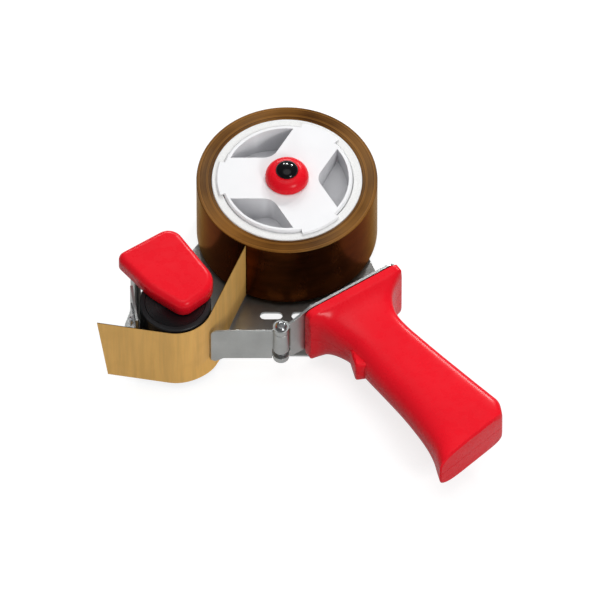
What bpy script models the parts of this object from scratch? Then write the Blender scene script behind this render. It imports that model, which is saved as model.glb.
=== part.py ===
"""Hand-held dispenser for parcel tape, lying on its steel side plate.

The origin is on the axis of the tape roll, on the underside of the side plate.
The roll's axis is +Z, the front roller and the blade are towards -X, and the
pistol grip is towards -Y. All lengths are in metres.
"""
import math

import bmesh
import bpy
from mathutils import Matrix, Vector

# Running gap between pieces that touch, and how far a cutter runs past what it cuts
GAP = 0.0003
OVERRUN = 0.002

# Tape roll on its cardboard core
ROLL_RADIUS = 0.052
ROLL_WIDTH = 0.048
CORE_BORE_RADIUS = 0.0381
CORE_WALL = 0.005
CORE_FIT = 0.0004

# Steel side plate with its bent-up flanges
SHEET = 0.0015
BEND_RADIUS = 0.0012
HUB_DISC_RADIUS = 0.037
FLANGE_Y = -0.0815
FLANGE_REAR_X = 0.021
FLANGE_BEND_FRONT_X = -0.034
FLANGE_EAR_FRONT_X = -0.0515
FLANGE_EAR_BOTTOM = 0.0135
FLANGE_HEIGHT = 0.050
FLANGE_CORNER = 0.006
FLANGE_SLOPE_X = -0.038
PLATE_WAIST_X = -0.062
PLATE_WAIST_Y = 0.016
PLATE_WAIST_RADIUS = 0.020
PLATE_CORNER_X = -0.097
PLATE_CORNER_Y = 0.0105
PLATE_CORNER_RADIUS = 0.006
PLATE_NECK_X = -0.084
PLATE_NECK_Y = -0.0475
PLATE_NECK_RADIUS = 0.008
ROLLER_BOSS_RADIUS = 0.015
PLATE_SLOT_LENGTH = 0.013
PLATE_SLOT_WIDTH = 0.005
PLATE_SLOT_PITCH = 0.018
PLATE_SLOT_GAP = 0.0068
PLATE_SLOT_ANGLE = math.radians(236.5)

# Front roller
ROLLER_X = -0.1014
ROLLER_Y = -0.038
ROLLER_RADIUS = 0.0205
ROLLER_LENGTH = 0.051
ROLLER_LIFT = 0.002
SLEEVE_WALL = 0.003
ROLLER_TUBE_WALL = 0.0025
ROLLER_HUB_WALL = 0.0028
ROLLER_WEB = 0.0035
ROLLER_SHAFT_RADIUS = 0.003
ROLLER_TENON_RADIUS = 0.002
CLIP_RADIUS = 0.0042
CLIP_THICKNESS = 0.0008
CLIP_GROOVE = 0.0007
CLIP_MOUTH = 0.0036

# Blade flange and serrated blade
BLADE_FLANGE_END_X = -0.126
BLADE_FLANGE_END_Y = -0.037
BLADE_FLANGE_LENGTH = 0.025
BLADE_FLANGE_LEAN = math.radians(244.2)
BLADE_FLANGE_HEIGHT = 0.054
BLADE_THICKNESS = 0.0008
BLADE_DEPTH = 0.0165
BLADE_PROUD = 0.0030
TOOTH_DEPTH = 0.0022
TOOTH_COUNT = 18

# Hub, its bearing and its brake
HUB_HEIGHT = 0.0513
HUB_LIP = 0.003
HUB_LIP_LENGTH = 0.024
HUB_FLANGE_RADIUS = 0.042
HUB_FLANGE = 0.0015
HUB_WALL = 0.0024
HUB_RIM_WALL = 0.0022
HUB_SKIN = 0.0026
ARM_COUNT = 3
ARM_WIDTH = 0.029
ARM_START = math.radians(146.5)
POCKET_CORNER = 0.009
POCKET_SHALLOW = 0.009
POCKET_DEEP = 0.026
HUB_LEAD_IN = 0.0008
AXLE_RADIUS = 0.004
AXLE_FOOT_RADIUS = 0.007
AXLE_THREAD_RADIUS = 0.003
AXLE_THREAD_LENGTH = 0.0052
FRICTION_WASHER = 0.0012
FRICTION_WASHER_RADIUS = 0.017
BUSHING_WALL = 0.0017
BUSHING_FLANGE = 0.0013
WELL_RADIUS = 0.0085
WELL_DEPTH = 0.0176
PRESSURE_WASHER = 0.0012
SPRING_WIRE = 0.0012
SPRING_TURNS = 5
COIL_STEPS = 10
COIL_END_SHARE = 0.45
WIRE_SIDES = 6
KNOB_RADIUS = 0.0125
KNOB_HEIGHT = 0.0073
KNOB_ROUNDING = 0.0055
KNOB_BOSS_RADIUS = 0.0072
KNOB_WALL = 0.0022
INSERT_RADIUS = 0.0052
INSERT_LENGTH = 0.0036
CAP_RADIUS = 0.0065
CAP_DOME = 0.0032
CAP_SEAT = 0.0012

# Hinged plate that keeps the tape from rolling back
CHECK_X = -0.057
CHECK_LENGTH = 0.040
CHECK_ANGLE = math.radians(146.5)
CHECK_SHEET = 0.0012
CHECK_BOTTOM = 0.015
CHECK_TOP = 0.041
CHECK_CORNER = 0.003
CHECK_TAB = 0.003
CHECK_TAB_LENGTH = 0.0072
CHECK_TAB_TIP = 0.0025
CHECK_TAB_RADIUS = 0.0008
KNUCKLE_RADIUS = 0.0047
KNUCKLE_LUG = 0.0036
LUG_BOTTOM = 0.0158
PIN_RADIUS = 0.002
PIN_HEAD_RADIUS = 0.0036
PIN_HEAD = 0.0012
CHECK_SPRING_WIRE = 0.0007
CHECK_SPRING_RADIUS = 0.0033
CHECK_SPRING_TURNS = 2.5
CHECK_SPRING_SPACE = 0.0043
CHECK_SPRING_LEG = 0.011

# Cover over the open end of the roller
COVER_BOTTOM = 0.055
COVER_HEIGHT = 0.010
COVER_WALL = 0.002
COVER_EDGE = 0.004
COVER_BOSS_WALL = 0.0022
COVER_FRONT_X = -0.116
COVER_REAR_X = -0.0762
COVER_HEEL_RADIUS = 0.014
COVER_TOP_Y = 0.0030
COVER_LOW_Y = -0.0505
COVER_HEEL_Y = -0.0470
COVER_WAIST_X = -0.1123
COVER_WAIST_Y = -0.0275
COVER_TOE_X = -0.1041
COVER_CORNER = 0.005
COVER_TOE_RADIUS = 0.0075
COVER_REAR_RADIUS = 0.009
POST_BEHIND = 0.0092
POST_INWARD = 0.0029
POST_RADIUS = 0.003
POST_NECK_RADIUS = 0.002
POST_BOSS_RADIUS = 0.0065
POST_NECK = 0.005
POST_SINK = 0.0015
COVER_WAIST_RADIUS = 0.040

# Handle: a base plate on the flange that narrows into a pistol grip
HANDLE_MID_Z = 0.0291
BASE_FRONT_X = -0.042
BASE_REAR_X = 0.021
BASE_HALF_HEIGHT = 0.021
BASE_THICKNESS = 0.006
BASE_EDGE = 0.001
BASE_SQUARENESS = 9
GRIP_LENGTH = 0.1155
GRIP_DEPTH = 0.040
GRIP_HALF_THICKNESS = 0.014
HANDLE_WALL = 0.0026
BASE_WALL = 0.003
HEEL_WALL = 0.003
CAVITY_LIFT = 0.002
SECTION_POINTS = 24
SPUR_REACH = 0.0335
SPUR_PLACE = 0.0167
SPUR_DEPTH = 0.017
SPUR_FOOT = 0.007
SPUR_ROOT_X = -0.018
SPUR_TIP_RADIUS = 0.0016
SPUR_HALF_THICKNESS = 0.0075
SPUR_EDGE = 0.002
SPUR_DROP = 0.005
SPUR_ROUND = 0.0012
SPUR_SHOULDER_SHARE = 0.875
HANDLE_BOSS_RADIUS = 0.0035
SCREW_RADIUS = 0.0014
SCREW_HEAD_RADIUS = 0.0028
SCREW_HEAD = 0.0019
SCREW_GRIP = 0.009
SCREW_BITE = 0.0077
SCREW_CROWN_SHARE = 0.6
FLANGE_SCREW_RADIUS = 0.002
FLANGE_SCREW_HEAD_RADIUS = 0.0038
FLANGE_SCREW_HEAD = 0.0022
FLANGE_SCREW_LENGTH = 0.011
FLANGE_BOSS_RADIUS = 0.0042
FLANGE_BOSS = 0.011
FLANGE_SCREW_FRONT_X = -0.026
FLANGE_SCREW_REAR_X = 0.010
FLANGE_SCREW_SPREAD = 0.0115
RIB = 0.0018
BLADE_SCREW_RADIUS = 0.0015
BLADE_SCREW_HEAD_RADIUS = 0.0028
BLADE_SCREW_HEAD = 0.0016
BLADE_SCREW_INSET = 0.0055
BLADE_SCREW_SPREAD = 0.014

# Tape drawn off the roll, round the front roller and past the blade
TAPE_THICKNESS = 0.0004
TAPE_LEAVE_ANGLE = math.radians(209.6)
TAPE_HUG = 0.0006
TAPE_SLACK = 0.0038
TAIL_ANGLE = math.radians(136.5)
TAIL_LONG = 0.0415
TAIL_SHORT = 0.0355
SLACK_PLACE = -0.006
SLACK_SPREAD = 0.014
RUN_STEPS = 8
WRAP_STEPS = 16
TAIL_STEPS = 4

# Counts of segments round turned pieces, and steps in an arc
FINE = 54
MEDIUM = 28
COARSE = 16
SMALL = 12
ARC_STEPS = 5

# Heights and radii that follow from the sizes above
FOOT_Z = SHEET + GAP
HUB_Z = FOOT_Z + FRICTION_WASHER + GAP
HUB_TOP = HUB_Z + HUB_HEIGHT
HUB_RADIUS = CORE_BORE_RADIUS - CORE_FIT
ROLL_Z = HUB_Z + HUB_FLANGE + GAP
ROLL_TOP = ROLL_Z + ROLL_WIDTH
WELL_Z = HUB_TOP - WELL_DEPTH
WASHER_Z = HUB_TOP - GAP - PRESSURE_WASHER
KNOB_Z = HUB_TOP + GAP
KNOB_BOSS_Z = WASHER_Z + PRESSURE_WASHER + GAP
KNOB_TOP = KNOB_Z + KNOB_HEIGHT
ROLLER_Z = SHEET + ROLLER_LIFT
ROLLER_TOP = ROLLER_Z + ROLLER_LENGTH
COVER_TOP = COVER_BOTTOM + COVER_HEIGHT
FLANGE_INNER_Y = FLANGE_Y + SHEET
BASE_Y = FLANGE_Y - GAP
GRIP_Y = BASE_Y - BASE_THICKNESS
SPUR_TOP_Y = GRIP_Y - SPUR_PLACE
SPUR_TIP_Y = SPUR_TOP_Y - SPUR_DEPTH
HUB_AXIS = Vector((0, 0))
ROLLER_AXIS = Vector((ROLLER_X, ROLLER_Y))
CHECK_AXIS = Vector((CHECK_X, FLANGE_INNER_Y))
BLADE_LINE = Vector((math.cos(BLADE_FLANGE_LEAN), math.sin(BLADE_FLANGE_LEAN)))
BLADE_SIDE = Vector((BLADE_LINE.y, -BLADE_LINE.x))
BLADE_END = Vector((BLADE_FLANGE_END_X, BLADE_FLANGE_END_Y))
BLADE_ROOT = BLADE_END - BLADE_LINE * BLADE_FLANGE_LENGTH
POST_AXIS = BLADE_ROOT - BLADE_LINE * POST_BEHIND - BLADE_SIDE * POST_INWARD

# Grip sections: place along the grip, front and rear edge as shares of its depth, half
# thickness as a share, squareness of the front and of the rear, and slant of the section
GRIP_SHARES = [
    (0.000, -1.040, 0.515, 1.480, 7.0, 8.0, 0.00),
    (0.022, -0.945, 0.400, 1.370, 5.0, 6.0, 0.00),
    (0.055, -0.875, 0.270, 1.255, 4.0, 5.0, 0.00),
    (0.105, -0.815, 0.175, 1.155, 3.2, 4.4, 0.00),
    (0.170, -0.755, 0.125, 1.085, 2.8, 4.0, 0.00),
    (0.250, -0.735, 0.140, 1.040, 2.6, 3.8, 0.00),
    (0.345, -0.722, 0.190, 1.015, 2.5, 3.8, 0.00),
    (0.480, -0.695, 0.265, 1.000, 2.5, 3.8, 0.00),
    (0.610, -0.673, 0.342, 1.000, 2.5, 3.8, 0.00),
    (0.730, -0.670, 0.410, 1.000, 2.6, 3.9, 0.02),
    (0.830, -0.685, 0.465, 1.000, 2.8, 4.1, 0.06),
    (0.900, -0.725, 0.490, 1.000, 3.2, 4.4, 0.12),
    (0.955, -0.790, 0.480, 0.990, 3.8, 4.8, 0.18),
    (0.990, -0.835, 0.450, 0.955, 4.0, 5.0, 0.19),
    (1.000, -0.800, 0.415, 0.860, 3.8, 4.8, 0.19),
]
GRIP_SCREW_SHARES = [(0.26, -0.29), (0.56, -0.17), (0.86, -0.10)]
RIB_SHARES = [0.14, 0.40, 0.70]

# Share of the tape's width that hangs slack, and its rows of points as shares of that width
TAPE_SLACK_SHARE = 0.21
TAPE_ROW_SHARES = [1, 0.6, 0.21, 0.14, 0.07, 0]


def remove_everything():
    """Take every object out of the scene."""
    for item in list(bpy.data.objects):
        bpy.data.objects.remove(item, do_unlink=True)


def make_material(name, colour, roughness, metallic=0.0):
    """A plain Principled material."""
    material = bpy.data.materials.new(name)
    material.use_nodes = True
    shader = material.node_tree.nodes["Principled BSDF"]
    shader.inputs["Base Color"].default_value = (*colour, 1.0)
    shader.inputs["Roughness"].default_value = roughness
    shader.inputs["Metallic"].default_value = metallic
    material.diffuse_color = (*colour, 1.0)
    return material


def add_object(name, bm, material=None, smooth_angle=math.radians(35)):
    """Put a bmesh into the scene as one object, faces out and round faces smooth."""
    bmesh.ops.recalc_face_normals(bm, faces=bm.faces)
    mesh = bpy.data.meshes.new(name)
    bm.to_mesh(mesh)
    bm.free()
    mesh.shade_smooth()
    mesh.set_sharp_from_angle(angle=smooth_angle)
    item = bpy.data.objects.new(name, mesh)
    bpy.context.scene.collection.objects.link(item)
    if material:
        item.data.materials.append(material)
    return item


def as_guide(item):
    """Mark an object as a cutter or a tool shape that is not a piece."""
    item.hide_render = True
    item.display_type = "WIRE"
    return item


def boolean(item, tool, operation):
    """Add an exact Boolean modifier that uses the tool shape."""
    as_guide(tool)
    step = item.modifiers.new(operation.lower() + "_" + tool.name, "BOOLEAN")
    step.operation = operation
    step.solver = "EXACT"
    step.object = tool
    return item


def cut(item, *tools):
    """Cut each tool shape out of the item."""
    for tool in tools:
        boolean(item, tool, "DIFFERENCE")
    return item


def join(item, *tools):
    """Fuse each tool shape to the item."""
    for tool in tools:
        boolean(item, tool, "UNION")
    return item


def keep_inside(item, tool):
    """Keep only what lies inside the tool shape."""
    return boolean(item, tool, "INTERSECT")


def loft(name, sections, material=None, closed=False):
    """Skin a list of equal loops of points, with a flat cap at each open end."""
    bm = bmesh.new()
    rings = [[bm.verts.new(point) for point in section] for section in sections]
    pairs = list(zip(rings, rings[1:]))
    if closed:
        pairs.append((rings[-1], rings[0]))
    for low, high in pairs:
        for i in range(len(low)):
            j = (i + 1) % len(low)
            bm.faces.new((low[i], low[j], high[j], high[i]))
    if not closed:
        bm.faces.new(rings[0])
        bm.faces.new(rings[-1])
    return add_object(name, bm, material)


def prism(name, outline, low, high, material=None):
    """Extrude a flat XY outline from one height to another."""
    sections = [[(x, y, z) for x, y in outline] for z in (low, high)]
    return loft(name, sections, material)


def wall_prism(name, outline, front, back, material=None):
    """Extrude a flat XZ outline along Y."""
    sections = [[(x, y, z) for x, z in outline] for y in (front, back)]
    return loft(name, sections, material)


def box(name, low, high, material=None):
    """A box between two corners."""
    outline = [(low[0], low[1]), (high[0], low[1]), (high[0], high[1]), (low[0], high[1])]
    return prism(name, outline, low[2], high[2], material)


def turned(name, profile, segments, centre=(0, 0), material=None):
    """Revolve a closed (radius, height) profile about an upright axis."""
    bm = bmesh.new()
    rings = []
    for radius, height in profile:
        if radius == 0:
            rings.append([bm.verts.new((centre[0], centre[1], height))])
            continue
        ring = []
        for i in range(segments):
            angle = math.tau * i / segments
            x = centre[0] + radius * math.cos(angle)
            y = centre[1] + radius * math.sin(angle)
            ring.append(bm.verts.new((x, y, height)))
        rings.append(ring)
    for k, ring in enumerate(rings):
        other = rings[(k + 1) % len(rings)]
        if len(ring) == 1 and len(other) == 1:
            continue
        for i in range(segments):
            j = (i + 1) % segments
            if len(ring) == 1:
                bm.faces.new((ring[0], other[j], other[i]))
            elif len(other) == 1:
                bm.faces.new((ring[i], ring[j], other[0]))
            else:
                bm.faces.new((ring[i], ring[j], other[j], other[i]))
    return add_object(name, bm, material)


def cylinder(name, radius, low, high, segments, centre=(0, 0), material=None):
    """An upright cylinder."""
    profile = [(0, low), (radius, low), (radius, high), (0, high)]
    return turned(name, profile, segments, centre, material)


def tube_profile(inner, outer, low, high):
    """Profile of a plain tube."""
    return [(inner, low), (outer, low), (outer, high), (inner, high)]


def arc(centre, radius, start, end, steps):
    """Points along an arc, both ends included."""
    points = []
    for i in range(steps + 1):
        angle = start + (end - start) * i / steps
        points.append((centre[0] + radius * math.cos(angle), centre[1] + radius * math.sin(angle)))
    return points


def rounded_outline(corners, steps=ARC_STEPS):
    """Turn (x, y, radius) corners into an outline with an arc at each corner."""
    outline = []
    for i, (x, y, radius) in enumerate(corners):
        here = Vector((x, y))
        if radius == 0:
            outline.append((x, y))
            continue
        before = (Vector(corners[i - 1][:2]) - here).normalized()
        after = (Vector(corners[(i + 1) % len(corners)][:2]) - here).normalized()
        half_angle = before.angle(after) / 2
        reach = radius / math.tan(half_angle)
        centre = here + (before + after).normalized() * radius / math.sin(half_angle)
        first = here + before * reach - centre
        last = here + after * reach - centre
        start = math.atan2(first.y, first.x)
        sweep = math.atan2(last.y, last.x) - start
        sweep = (sweep + math.pi) % math.tau - math.pi
        outline += arc(centre, radius, start, start + sweep, steps)
    return outline


def corner_about(centre, radius, before, after):
    """The corner whose arc is centred there, on an outline walked anticlockwise."""
    to_centre = centre - before
    angle_in = math.atan2(to_centre.y, to_centre.x) - math.asin(radius / to_centre.length)
    back = centre - after
    angle_out = math.atan2(back.y, back.x) + math.asin(radius / back.length)
    way_in = Vector((math.cos(angle_in), math.sin(angle_in)))
    way_out = Vector((math.cos(angle_out), math.sin(angle_out)))
    across = after - before
    turn = way_in.x * way_out.y - way_in.y * way_out.x
    reach = (across.x * way_out.y - across.y * way_out.x) / turn
    corner = before + way_in * reach
    return (corner.x, corner.y, radius)


def around(centre, radius, angle):
    """The point at that radius and angle from a centre, in plan."""
    return Vector((centre[0] + radius * math.cos(angle), centre[1] + radius * math.sin(angle)))


def wire(name, points, radius, sides, material):
    """A round wire along a list of points, with flat ends."""
    points = [Vector(point) for point in points]
    sections = []
    side = None
    for i, point in enumerate(points):
        before = points[max(i - 1, 0)]
        after = points[min(i + 1, len(points) - 1)]
        along = (after - before).normalized()
        if side is None:
            side = along.orthogonal().normalized()
        side = (side - along * side.dot(along)).normalized()
        up = along.cross(side)
        section = []
        for k in range(sides):
            angle = math.tau * k / sides
            section.append(point + side * radius * math.cos(angle) + up * radius * math.sin(angle))
        sections.append(section)
    return loft(name, sections, material)


def inset_corners(corners, distance):
    """Move the edges of an anticlockwise outline of corners inwards."""
    moved = []
    for i, (x, y, radius) in enumerate(corners):
        here = Vector((x, y))
        along_in = (here - Vector(corners[i - 1][:2])).normalized()
        along_out = (Vector(corners[(i + 1) % len(corners)][:2]) - here).normalized()
        normal_in = Vector((-along_in.y, along_in.x))
        normal_out = Vector((-along_out.y, along_out.x))
        shift = (normal_in + normal_out) * distance / (1 + normal_in.dot(normal_out))
        turn = along_in.x * along_out.y - along_in.y * along_out.x
        new_radius = radius - distance if turn > 0 else radius + distance
        point = here + shift
        moved.append((point.x, point.y, max(new_radius, radius / 4)))
    return moved


def aim(item, start, direction):
    """Lay a piece made along +Z along another direction, from a start point."""
    turn = Vector((0, 0, 1)).rotation_difference(Vector(direction)).to_matrix().to_4x4()
    item.data.transform(Matrix.Translation(Vector(start)) @ turn)
    return item


def blade_point(along, side):
    """Plan point on the blade flange, from its top end and its inner face."""
    return BLADE_ROOT + BLADE_LINE * along + BLADE_SIDE * side


def check_point(along, side=0.0):
    """Plan point on the check plate, from its hinge axis and its middle plane."""
    way = Vector((math.cos(CHECK_ANGLE), math.sin(CHECK_ANGLE)))
    return CHECK_AXIS + way * along + Vector((way.y, -way.x)) * side


# Steel frame

def side_plate_outline():
    """Outline of the flat plate: hub disc, front corner, blade edge, roller boss and neck."""
    rear = Vector((FLANGE_REAR_X, FLANGE_Y))
    blade_top = blade_point(0, SHEET)
    blade_end = blade_point(BLADE_FLANGE_LENGTH, SHEET)
    neck = Vector((PLATE_NECK_X, PLATE_NECK_Y))
    waist = Vector((PLATE_WAIST_X, PLATE_WAIST_Y))
    front = Vector((PLATE_CORNER_X, PLATE_CORNER_Y))
    corners = [
        (rear.x, rear.y, 0),
        corner_about(HUB_AXIS, HUB_DISC_RADIUS, rear, waist),
        (waist.x, waist.y, PLATE_WAIST_RADIUS),
        (front.x, front.y, PLATE_CORNER_RADIUS),
        corner_about(POST_AXIS, POST_BOSS_RADIUS, front, blade_top),
        (blade_top.x, blade_top.y, 0),
        (blade_end.x, blade_end.y, 0),
        corner_about(ROLLER_AXIS, ROLLER_BOSS_RADIUS, blade_end, neck),
        (neck.x, neck.y, PLATE_NECK_RADIUS),
        (FLANGE_BEND_FRONT_X, FLANGE_Y, 0),
    ]
    return rounded_outline(corners, ARC_STEPS * 2)


def base_flange_outline():
    """Outline of the flange that carries the handle, seen along Y."""
    ear_top = CHECK_TOP + GAP + KNUCKLE_LUG
    corners = [
        (FLANGE_BEND_FRONT_X, 0, 0),
        (FLANGE_REAR_X, 0, 0),
        (FLANGE_REAR_X, FLANGE_HEIGHT, FLANGE_CORNER),
        (FLANGE_SLOPE_X, FLANGE_HEIGHT, FLANGE_CORNER),
        (FLANGE_EAR_FRONT_X, ear_top, 0),
        (FLANGE_EAR_FRONT_X, FLANGE_EAR_BOTTOM, 0),
        (FLANGE_BEND_FRONT_X, FLANGE_EAR_BOTTOM, BEND_RADIUS),
    ]
    return rounded_outline(corners)


def make_side_plate(steel):
    """Stamped steel plate with the base flange, the blade flange and the hinge lugs."""
    plate = prism("side_plate", side_plate_outline(), 0, SHEET, steel)
    flange = wall_prism("guide_base_flange", base_flange_outline(), FLANGE_Y, FLANGE_INNER_Y)
    blade_outline = [
        blade_point(0, 0),
        blade_point(0, SHEET),
        blade_point(BLADE_FLANGE_LENGTH, SHEET),
        blade_point(BLADE_FLANGE_LENGTH, 0),
    ]
    blade_flange = prism("guide_blade_flange", blade_outline, 0, BLADE_FLANGE_HEIGHT)
    join(plate, flange, blade_flange)
    for low in (LUG_BOTTOM, CHECK_TOP + GAP):
        high = low + KNUCKLE_LUG
        lug = cylinder("guide_lug", KNUCKLE_RADIUS, low, high, COARSE, CHECK_AXIS)
        web_end = FLANGE_EAR_FRONT_X + OVERRUN
        web = box("guide_web", (CHECK_X, FLANGE_Y, low), (web_end, FLANGE_INNER_Y, high))
        join(plate, lug, web)
    cut(plate, cylinder("guide_pin_hole", PIN_RADIUS + GAP, 0, COVER_BOTTOM, SMALL, CHECK_AXIS))
    for axis, radius in ((ROLLER_AXIS, ROLLER_TENON_RADIUS), (POST_AXIS, POST_NECK_RADIUS)):
        cut(plate, cylinder("guide_rivet_hole", radius + GAP, -OVERRUN, SHEET + OVERRUN, SMALL, axis))
    for place in flange_screw_places():
        cut(plate, flange_screw_hole("guide_flange_hole", place))
    for height in blade_screw_heights():
        hole = blade_screw_hole("guide_blade_hole", height)
        cut(plate, hole)
    for number in range(2):
        cut(plate, plate_slot(number))
    return plate


def plate_slot(number):
    """One of the two slots punched beside the roll."""
    way = Vector((math.cos(CHECK_ANGLE), math.sin(CHECK_ANGLE)))
    out = around(HUB_AXIS, 1, PLATE_SLOT_ANGLE)
    middle = out * (ROLL_RADIUS + PLATE_SLOT_GAP) + way * PLATE_SLOT_PITCH * (number - 1 / 2)
    half = way * (PLATE_SLOT_LENGTH - PLATE_SLOT_WIDTH) / 2
    outline = []
    for side, start in ((1, CHECK_ANGLE - math.pi / 2), (-1, CHECK_ANGLE + math.pi / 2)):
        outline += arc(middle + half * side, PLATE_SLOT_WIDTH / 2, start, start + math.pi, ARC_STEPS)
    return prism("guide_plate_slot", outline, -OVERRUN, SHEET + OVERRUN)


# Handle

def grip_stations():
    """Every cross-section of the handle: place, edges, half thickness, both squarenesses, slant."""
    base = (BASE_FRONT_X, BASE_REAR_X, BASE_HALF_HEIGHT, BASE_SQUARENESS, BASE_SQUARENESS, 0)
    stations = [(BASE_Y, *base), (GRIP_Y + BASE_EDGE, *base)]
    for along, front, rear, half, *form in GRIP_SHARES:
        place = GRIP_Y - along * GRIP_LENGTH
        size = (front * GRIP_DEPTH, rear * GRIP_DEPTH, half * GRIP_HALF_THICKNESS)
        stations.append((place, *size, *form))
    return stations


def handle_loft(name, inset, lift, first, last, material=None):
    """Skin the handle's sections, moved inwards and along Y, between two places along Y."""
    sections = []
    before = None
    for place, front, rear, half, front_power, rear_power, slant in grip_stations():
        place = min(max(place + lift, last), first)
        if before is not None and before - place < GAP:
            continue
        before = place
        middle = (front + rear) / 2
        reach = (rear - front) / 2 - inset
        section = []
        for i in range(SECTION_POINTS):
            angle = math.tau * (i + 1 / 2) / SECTION_POINTS
            c = math.cos(angle)
            s = math.sin(angle)
            power = rear_power if c > 0 else front_power
            x = middle + reach * math.copysign(abs(c) ** (2 / power), c)
            z = HANDLE_MID_Z + (half - inset) * math.copysign(abs(s) ** (2 / power), s)
            section.append((x, place + slant * (x - middle), z))
        sections.append(section)
    return loft(name, sections, material)


def spur_tool():
    """The finger spur on the front of the grip, a rounded fin."""
    corners = [
        (SPUR_ROOT_X, SPUR_TOP_Y, 0),
        (-SPUR_REACH * SPUR_SHOULDER_SHARE, SPUR_TOP_Y - SPUR_DROP, SPUR_EDGE),
        (-SPUR_REACH, SPUR_TIP_Y, SPUR_TIP_RADIUS),
        (SPUR_ROOT_X, SPUR_TIP_Y - SPUR_FOOT, 0),
    ]
    sections = []
    for height, inset in ((-1, 1), (-1, 0), (1, 0), (1, 1)):
        shape = inset_corners(corners, SPUR_ROUND * inset)
        z = HANDLE_MID_Z + height * (SPUR_HALF_THICKNESS - (1 - inset) * SPUR_ROUND)
        sections.append([(x, y, z) for x, y in rounded_outline(shape)])
    return loft("guide_spur", sections)


def grip_screw_places():
    """Plan places of the screws that hold the two halves together."""
    places = []
    for along, across in GRIP_SCREW_SHARES:
        places.append(Vector((across * GRIP_DEPTH, GRIP_Y - along * GRIP_LENGTH)))
    return places


def flange_screw_places():
    """Places of the screws through the base flange, in X and Z."""
    places = []
    for x in (FLANGE_SCREW_FRONT_X, FLANGE_SCREW_REAR_X):
        for side in (-1, 1):
            places.append((x, HANDLE_MID_Z + side * FLANGE_SCREW_SPREAD))
    return places


def flange_screw_hole(name, place):
    """Clearance hole for a flange screw, through the flange and into its boss."""
    length = FLANGE_SCREW_LENGTH + OVERRUN
    hole = cylinder(name, FLANGE_SCREW_RADIUS + GAP, 0, length + OVERRUN, SMALL)
    return aim(hole, (place[0], FLANGE_INNER_Y + OVERRUN, place[1]), (0, -1, 0))


def handle_cavity():
    """The hollow inside the handle, with its screw bosses and ribs left standing."""
    heel = grip_stations()[-1][0] + HEEL_WALL
    cavity = handle_loft("guide_cavity", HANDLE_WALL, CAVITY_LIFT, BASE_Y - BASE_WALL, heel)
    for place in grip_screw_places():
        low = HANDLE_MID_Z - BASE_HALF_HEIGHT
        high = HANDLE_MID_Z + BASE_HALF_HEIGHT
        cut(cavity, cylinder("guide_boss", HANDLE_BOSS_RADIUS, low, high, SMALL, place))
    for x, z in flange_screw_places():
        boss = cylinder("guide_flange_boss", FLANGE_BOSS_RADIUS, 0, FLANGE_BOSS + OVERRUN, SMALL)
        cut(cavity, aim(boss, (x, BASE_Y, z), (0, -1, 0)))
    for along in RIB_SHARES:
        y = GRIP_Y - along * GRIP_LENGTH
        low = (-GRIP_DEPTH, y - RIB / 2, HANDLE_MID_Z - BASE_HALF_HEIGHT)
        high = (GRIP_DEPTH, y + RIB / 2, HANDLE_MID_Z + BASE_HALF_HEIGHT)
        cut(cavity, box("guide_rib", low, high))
    return as_guide(cavity)


def make_handle_half(name, side, cavity, plastic):
    """One moulded half shell; side is 1 for the open side and -1 for the plate side."""
    heel = grip_stations()[-1][0]
    half = handle_loft(name, 0, 0, BASE_Y, heel, plastic)
    join(half, spur_tool())
    cut(half, cavity)
    near = HANDLE_MID_Z + side * GAP / 2
    far = HANDLE_MID_Z + side * (BASE_HALF_HEIGHT + OVERRUN)
    reach = GRIP_LENGTH + BASE_THICKNESS + GRIP_DEPTH
    low = (BASE_FRONT_X - OVERRUN, BASE_Y - reach, min(near, far))
    high = (BASE_REAR_X + GRIP_DEPTH, BASE_Y + OVERRUN, max(near, far))
    keep_inside(half, box("guide_half_space", low, high))
    seat = HANDLE_MID_Z - SCREW_GRIP
    for place in grip_screw_places():
        hole_top = HANDLE_MID_Z + SCREW_BITE + GAP
        hole = cylinder("guide_screw_hole", SCREW_RADIUS + GAP, seat - OVERRUN, hole_top, SMALL, place)
        cut(half, hole)
        if side < 0:
            low = HANDLE_MID_Z - BASE_HALF_HEIGHT - OVERRUN
            cut(half, cylinder("guide_recess", SCREW_HEAD_RADIUS + GAP, low, seat, SMALL, place))
    for place in flange_screw_places():
        if (place[1] - HANDLE_MID_Z) * side > 0:
            cut(half, flange_screw_hole("guide_boss_hole", place))
    return half


def screw(name, head_radius, head, shank_radius, length, material):
    """A pan-head screw along +Z with the underside of its head at zero."""
    crown = head_radius * SCREW_CROWN_SHARE
    profile = [
        (0, -head),
        (crown, -head),
        (head_radius, -head * SCREW_CROWN_SHARE),
        (head_radius, 0),
        (shank_radius, 0),
        (shank_radius, length),
        (0, length),
    ]
    return turned(name, profile, SMALL, material=material)


def make_handle_screws(steel):
    """Screws that hold the handle halves together, driven from the plate side."""
    size = (SCREW_HEAD_RADIUS, SCREW_HEAD, SCREW_RADIUS, SCREW_GRIP + SCREW_BITE)
    for number, place in enumerate(grip_screw_places(), 1):
        item = screw(f"handle_screw_{number}", *size, steel)
        aim(item, (*place, HANDLE_MID_Z - SCREW_GRIP - GAP), (0, 0, 1))


def make_flange_screws(steel):
    """Screws through the base flange into the handle."""
    size = (FLANGE_SCREW_HEAD_RADIUS, FLANGE_SCREW_HEAD, FLANGE_SCREW_RADIUS, FLANGE_SCREW_LENGTH)
    for number, (x, z) in enumerate(flange_screw_places(), 1):
        item = screw(f"flange_screw_{number}", *size, steel)
        aim(item, (x, FLANGE_INNER_Y + GAP, z), (0, -1, 0))


# Blade

def blade_screw_heights():
    """Heights of the two blade screws."""
    middle = ROLL_Z + ROLL_WIDTH / 2
    return [middle - BLADE_SCREW_SPREAD, middle + BLADE_SCREW_SPREAD]


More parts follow.
